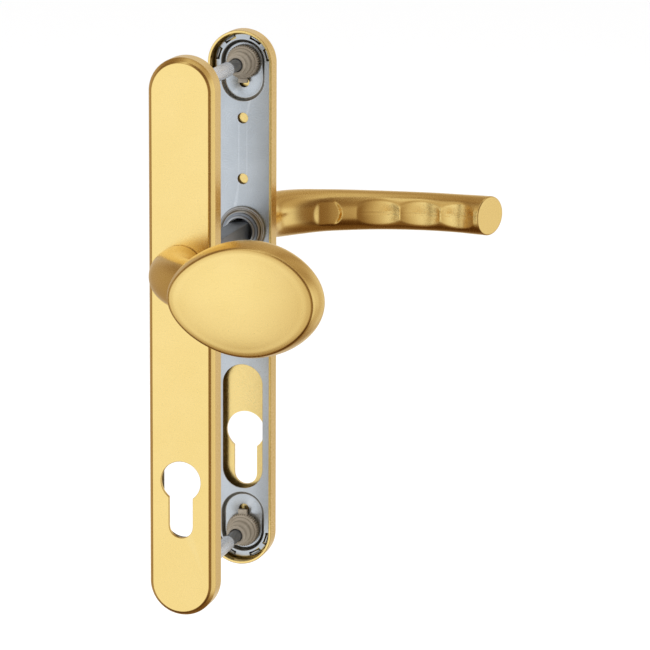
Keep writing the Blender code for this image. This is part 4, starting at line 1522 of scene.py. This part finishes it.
            def place(share: float, inset=inset, forward=forward) -> Vector:
                """Return one point of the rounded edge."""
                spoke = round_place(share) - middle
                return middle + spoke * (1 - inset / spoke.length) + self.end_normal() * forward

            places.append(place)
        return skin.grow(last, *places)


# ---------------------------------------------------------------- studio

@dataclass(frozen=True)
class Lamp:
    """A square soft light.

    Args:
        name: its name.
        place: where it hangs, in metres.
        width: its side.
        power: in watts.
    """

    name: str
    place: Triple
    width: float
    power: float

    def hang(self) -> None:
        """Build the light, turned to the set."""
        light = bpy.data.lights.new(self.name, "AREA")
        light.size = self.width
        light.energy = self.power
        lamp = bpy.data.objects.new(self.name, light)
        lamp.location = self.place
        lamp.rotation_euler = Vector(self.place).to_track_quat("Z", "Y").to_euler()
        lamp.visible_glossy = False
        bpy.context.scene.collection.objects.link(lamp)


@dataclass(frozen=True)
class Softboxes:
    """What metal reflects: light and dark areas round the set.

    Args:
        round_about: (degrees from the front towards the lever's side, brightness).
        upwards: (height as a sine, share of that brightness).
        warmth: how much warmer the darker areas are, for green and for blue.
        cool: tint of the brightest areas.
    """

    round_about: tuple[Pair, ...] = (
        (-180.0, 0.8), (-135.0, 0.4), (-112.0, 0.42), (-95.0, 0.3), (-72.0, 0.26), (-52.0, 0.66),
        (-35.0, 0.96), (-15.0, 1.0), (-5.0, 0.9), (8.0, 0.7), (25.0, 0.46), (45.0, 0.22),
        (82.0, 0.22), (98.0, 0.82), (120.0, 0.84), (133.0, 0.5), (150.0, 0.8), (158.0, 0.72),
        (165.0, 0.5), (172.0, 0.68), (180.0, 0.8))
    upwards: tuple[Pair, ...] = (
        (-1.0, 0.2), (-0.8, 0.24), (-0.64, 0.5), (-0.52, 0.93), (-0.28, 0.95), (-0.15, 1.0),
        (0.15, 1.0), (0.3, 0.94), (0.48, 0.62), (0.8, 0.55), (0.95, 0.85), (1.0, 0.9))
    warmth: Pair = (1.38, 1.95)
    cool: Colour = (1.0, 1.05, 1.14)
    strength: float = 1.1

    def seen(self, tree: bpy.types.NodeTree) -> bpy.types.NodeSocket:
        """Build the pattern in a world.

        Args:
            tree: the world's nodes.

        Returns:
            The colour's socket.
        """
        place = add_node(tree, "TexCoord")
        axes = add_node(tree, "SeparateXYZ", {0: place.outputs["Generated"]})
        front = add_node(tree, "Math", {0: axes.outputs["Y"], 1: -1.0}, operation="MULTIPLY")
        angle = add_node(tree, "Math", {0: axes.outputs["X"], 1: front.outputs[0]},
                         operation="ARCTAN2")
        turn = add_node(tree, "MapRange", {"Value": angle.outputs[0], "From Min": -math.pi,
                                           "From Max": math.pi})
        height = add_node(tree, "MapRange", {"Value": axes.outputs["Z"], "From Min": -1.0})
        sides = self.ramp(tree, turn.outputs[0], [((at + 180) / 360, value)
                                                  for at, value in self.round_about])
        levels = self.ramp(tree, height.outputs[0], [((at + 1) / 2, value)
                                                     for at, value in self.upwards])
        both = add_node(tree, "Mix", {0: 1.0}, data_type="RGBA", blend_type="MULTIPLY")
        entries = [entry for entry in both.inputs if entry.type == "RGBA"]
        tree.links.new(sides, entries[0])
        tree.links.new(levels, entries[1])
        return next(entry for entry in both.outputs if entry.type == "RGBA")

    def ramp(self, tree: bpy.types.NodeTree, source: bpy.types.NodeSocket,
             stops: Sequence[Pair]) -> bpy.types.NodeSocket:
        """Add a colour ramp.

        Args:
            tree: the world's nodes.
            source: what drives it.
            stops: (place, brightness) of each stop.

        Returns:
            The ramp's colour.
        """
        node = add_node(tree, "ValToRGB", {0: source})
        elements = node.color_ramp.elements
        elements.remove(elements[1])
        elements[0].position = 0.0
        for at, value in stops:
            element = elements.new(at) if at > 0.0 else elements[0]
            element.color = (value * self.cool[0], value**self.warmth[0] * self.cool[1]**0.5,
                             value**self.warmth[1] * self.cool[2]**0.5, 1.0)
        return node.outputs[0]


@dataclass
class Studio:
    """The camera, the pale floor and the soft light.

    Args:
        azimuth: the camera's turn about Z, in degrees.
        elevation: its height above the horizon, in degrees.
        roll: its turn about its own line of sight, in degrees.
        distance: from the row's origin, in metres.
        aim: how far the origin lies from the middle of the view, in metres.
        lens: focal length on the sensor's width, both in millimetres.
    """

    azimuth: float = 15.155
    elevation: float = 12.008
    roll: float = 0.276
    distance: float = 1.7513
    aim: Pair = (-0.047609, 0.033521)
    lens: float = 225.45
    sensor: float = 36.0
    floor_depth: float = -0.55
    floor_size: float = 30.0
    world: float = 1.06
    softboxes: Softboxes = field(default_factory=Softboxes)
    lamps: tuple[Lamp, ...] = (
        Lamp("key_softbox", (-0.9, -1.7, 1.9), 1.2, 26.0),
        Lamp("fill_softbox", (1.4, 1.6, 1.9), 1.4, 16.0),
    )

    def build(self) -> None:
        """Set up camera, surroundings, floor and lamps."""
        self.camera()
        self.surroundings()
        self.floor()
        for lamp in self.lamps:
            lamp.hang()
        bpy.context.scene.view_settings.view_transform = "Standard"

    def camera(self) -> None:
        """Place the camera on the set."""
        azimuth, elevation, roll = (math.radians(angle)
                                    for angle in (self.azimuth, self.elevation, self.roll))
        level = Vector((math.cos(azimuth), math.sin(azimuth), 0.0))
        towards = Vector((math.sin(azimuth), -math.cos(azimuth), 0.0))
        back = towards * math.cos(elevation) + Vector((0.0, 0.0, math.sin(elevation)))
        upright = back.cross(level)
        right = level * math.cos(roll) + upright * math.sin(roll)
        up = upright * math.cos(roll) - level * math.sin(roll)
        data = bpy.data.cameras.new("view_camera")
        data.lens = self.lens
        data.sensor_width = self.sensor
        data.clip_start = 0.05
        data.clip_end = 60.0
        camera = bpy.data.objects.new("view_camera", data)
        place = back * self.distance - right * self.aim[0] - up * self.aim[1]
        turn = Matrix((right, up, back)).transposed().to_4x4()
        camera.matrix_world = Matrix.Translation(place) @ turn
        bpy.context.scene.collection.objects.link(camera)
        bpy.context.scene.camera = camera

    def surroundings(self) -> None:
        """Make the even surroundings, and the softboxes that metal reflects."""
        world = bpy.data.worlds.new("studio")
        bpy.context.scene.world = world
        world.use_nodes = True
        tree = world.node_tree
        even = tree.nodes["Background"]
        even.inputs["Strength"].default_value = self.world
        even.inputs["Color"].default_value = (1.0, 1.0, 1.0, 1.0)
        boxes = add_node(tree, "Background", {"Color": self.softboxes.seen(tree),
                                              "Strength": self.softboxes.strength})
        ray = add_node(tree, "LightPath")
        both = add_node(tree, "MixShader", {0: ray.outputs["Is Glossy Ray"], 1: even.outputs[0],
                                            2: boxes.outputs[0]})
        tree.links.new(both.outputs[0], tree.nodes["World Output"].inputs["Surface"])

    def floor(self) -> None:
        """Lay the pale floor."""
        bm = bmesh.new()
        bmesh.ops.create_grid(bm, x_segments=1, y_segments=1, size=self.floor_size / 2)
        bmesh.ops.translate(bm, verts=bm.verts, vec=(0.0, 0.0, self.floor_depth))
        mesh = bpy.data.meshes.new("pale_floor")
        bm.to_mesh(mesh)
        bm.free()
        material = bpy.data.materials.new("pale_floor")
        material.use_nodes = True
        shader = material.node_tree.nodes["Principled BSDF"]
        shader.inputs["Base Color"].default_value = (0.93, 0.93, 0.93, 1.0)
        shader.inputs["Roughness"].default_value = 0.9
        shader.inputs["Specular IOR Level"].default_value = 0.1
        mesh.materials.append(material)
        floor = bpy.data.objects.new("pale_floor", mesh)
        floor.visible_glossy = False
        bpy.context.scene.collection.objects.link(floor)


# ---------------------------------------------------------------- the set

FINISHES = (
    Finish("anodised_gold", colour=(0.93, 0.695, 0.265), shade=(0.915, 0.68, 0.25),
           worn=(0.97, 0.82, 0.45), metallic=1.0, roughness=(0.2, 0.3), grain=3000.0,
           relief=0.0000055, wear=0.2),
    Finish("zinc_plated_steel", colour=(0.59, 0.625, 0.645), shade=(0.52, 0.555, 0.575),
           worn=(0.85, 0.88, 0.9), metallic=1.0, roughness=(0.24, 0.36), grain=2600.0),
    Finish("bright_steel", colour=(0.66, 0.7, 0.76), shade=(0.56, 0.61, 0.68),
           worn=(0.85, 0.88, 0.92), metallic=0.6, roughness=(0.2, 0.34), grain=3000.0,
           relief=0.000003, stretch=(1.0, 0.06, 1.0)),
    Finish("dark_steel", colour=(0.27, 0.295, 0.33), shade=(0.17, 0.185, 0.21),
           worn=(0.5, 0.53, 0.56), metallic=0.85, roughness=(0.28, 0.46), grain=3000.0,
           relief=0.000006, stretch=(1.0, 0.05, 1.0)),
    Finish("cast_zinc", colour=(0.55, 0.57, 0.58), shade=(0.42, 0.44, 0.45),
           worn=(0.78, 0.8, 0.82), metallic=1.0, roughness=(0.26, 0.42), grain=1800.0,
           relief=0.000006),
    Finish("taupe_nylon", colour=(0.34, 0.295, 0.23), shade=(0.29, 0.25, 0.195),
           worn=(0.46, 0.41, 0.34), metallic=0.0, roughness=(0.42, 0.6), grain=2200.0,
           relief=0.000012),
)

SMALL_NODES = {"return_spring": "dark_steel", "knob_spacer": "bright_steel",
               "knob_locating_pin": "bright_steel", "knob_washer": "bright_steel",
               "knob_stub": "bright_steel", "knob_nut": "bright_steel",
               "lever_grub_screw": "dark_steel", "thrust_washer": "dark_steel",
               "hub_retaining_ring": "dark_steel"}


def main() -> None:
    """Build the whole set in its studio."""
    logging.basicConfig(level=logging.INFO, format="%(message)s")
    Studio().build()
    sizes = PlateSizes.of_frame()
    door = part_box("inside_cover_plate")[0].y / MM * 2
    shop = Workshop(FINISHES)
    CoverPlate(sizes, Side.OUTSIDE, 5.3, False).build(shop)
    CoverPlate(sizes, Side.INSIDE, 9.2, True).build(shop)
    BasePlate(sizes, Side.OUTSIDE, 5.3, 3.5).build(shop)
    BasePlate(sizes, Side.INSIDE, 8.8, 4.6).build(shop)
    Fixings(sizes, door).build(shop)
    Cassette(sizes).build(shop)
    Knob().build(shop)
    Lever(sizes).build(shop)
    for node, slot in SMALL_NODES.items():
        shop.dress_node(node, slot)


if __name__ == "__main__":
    main()
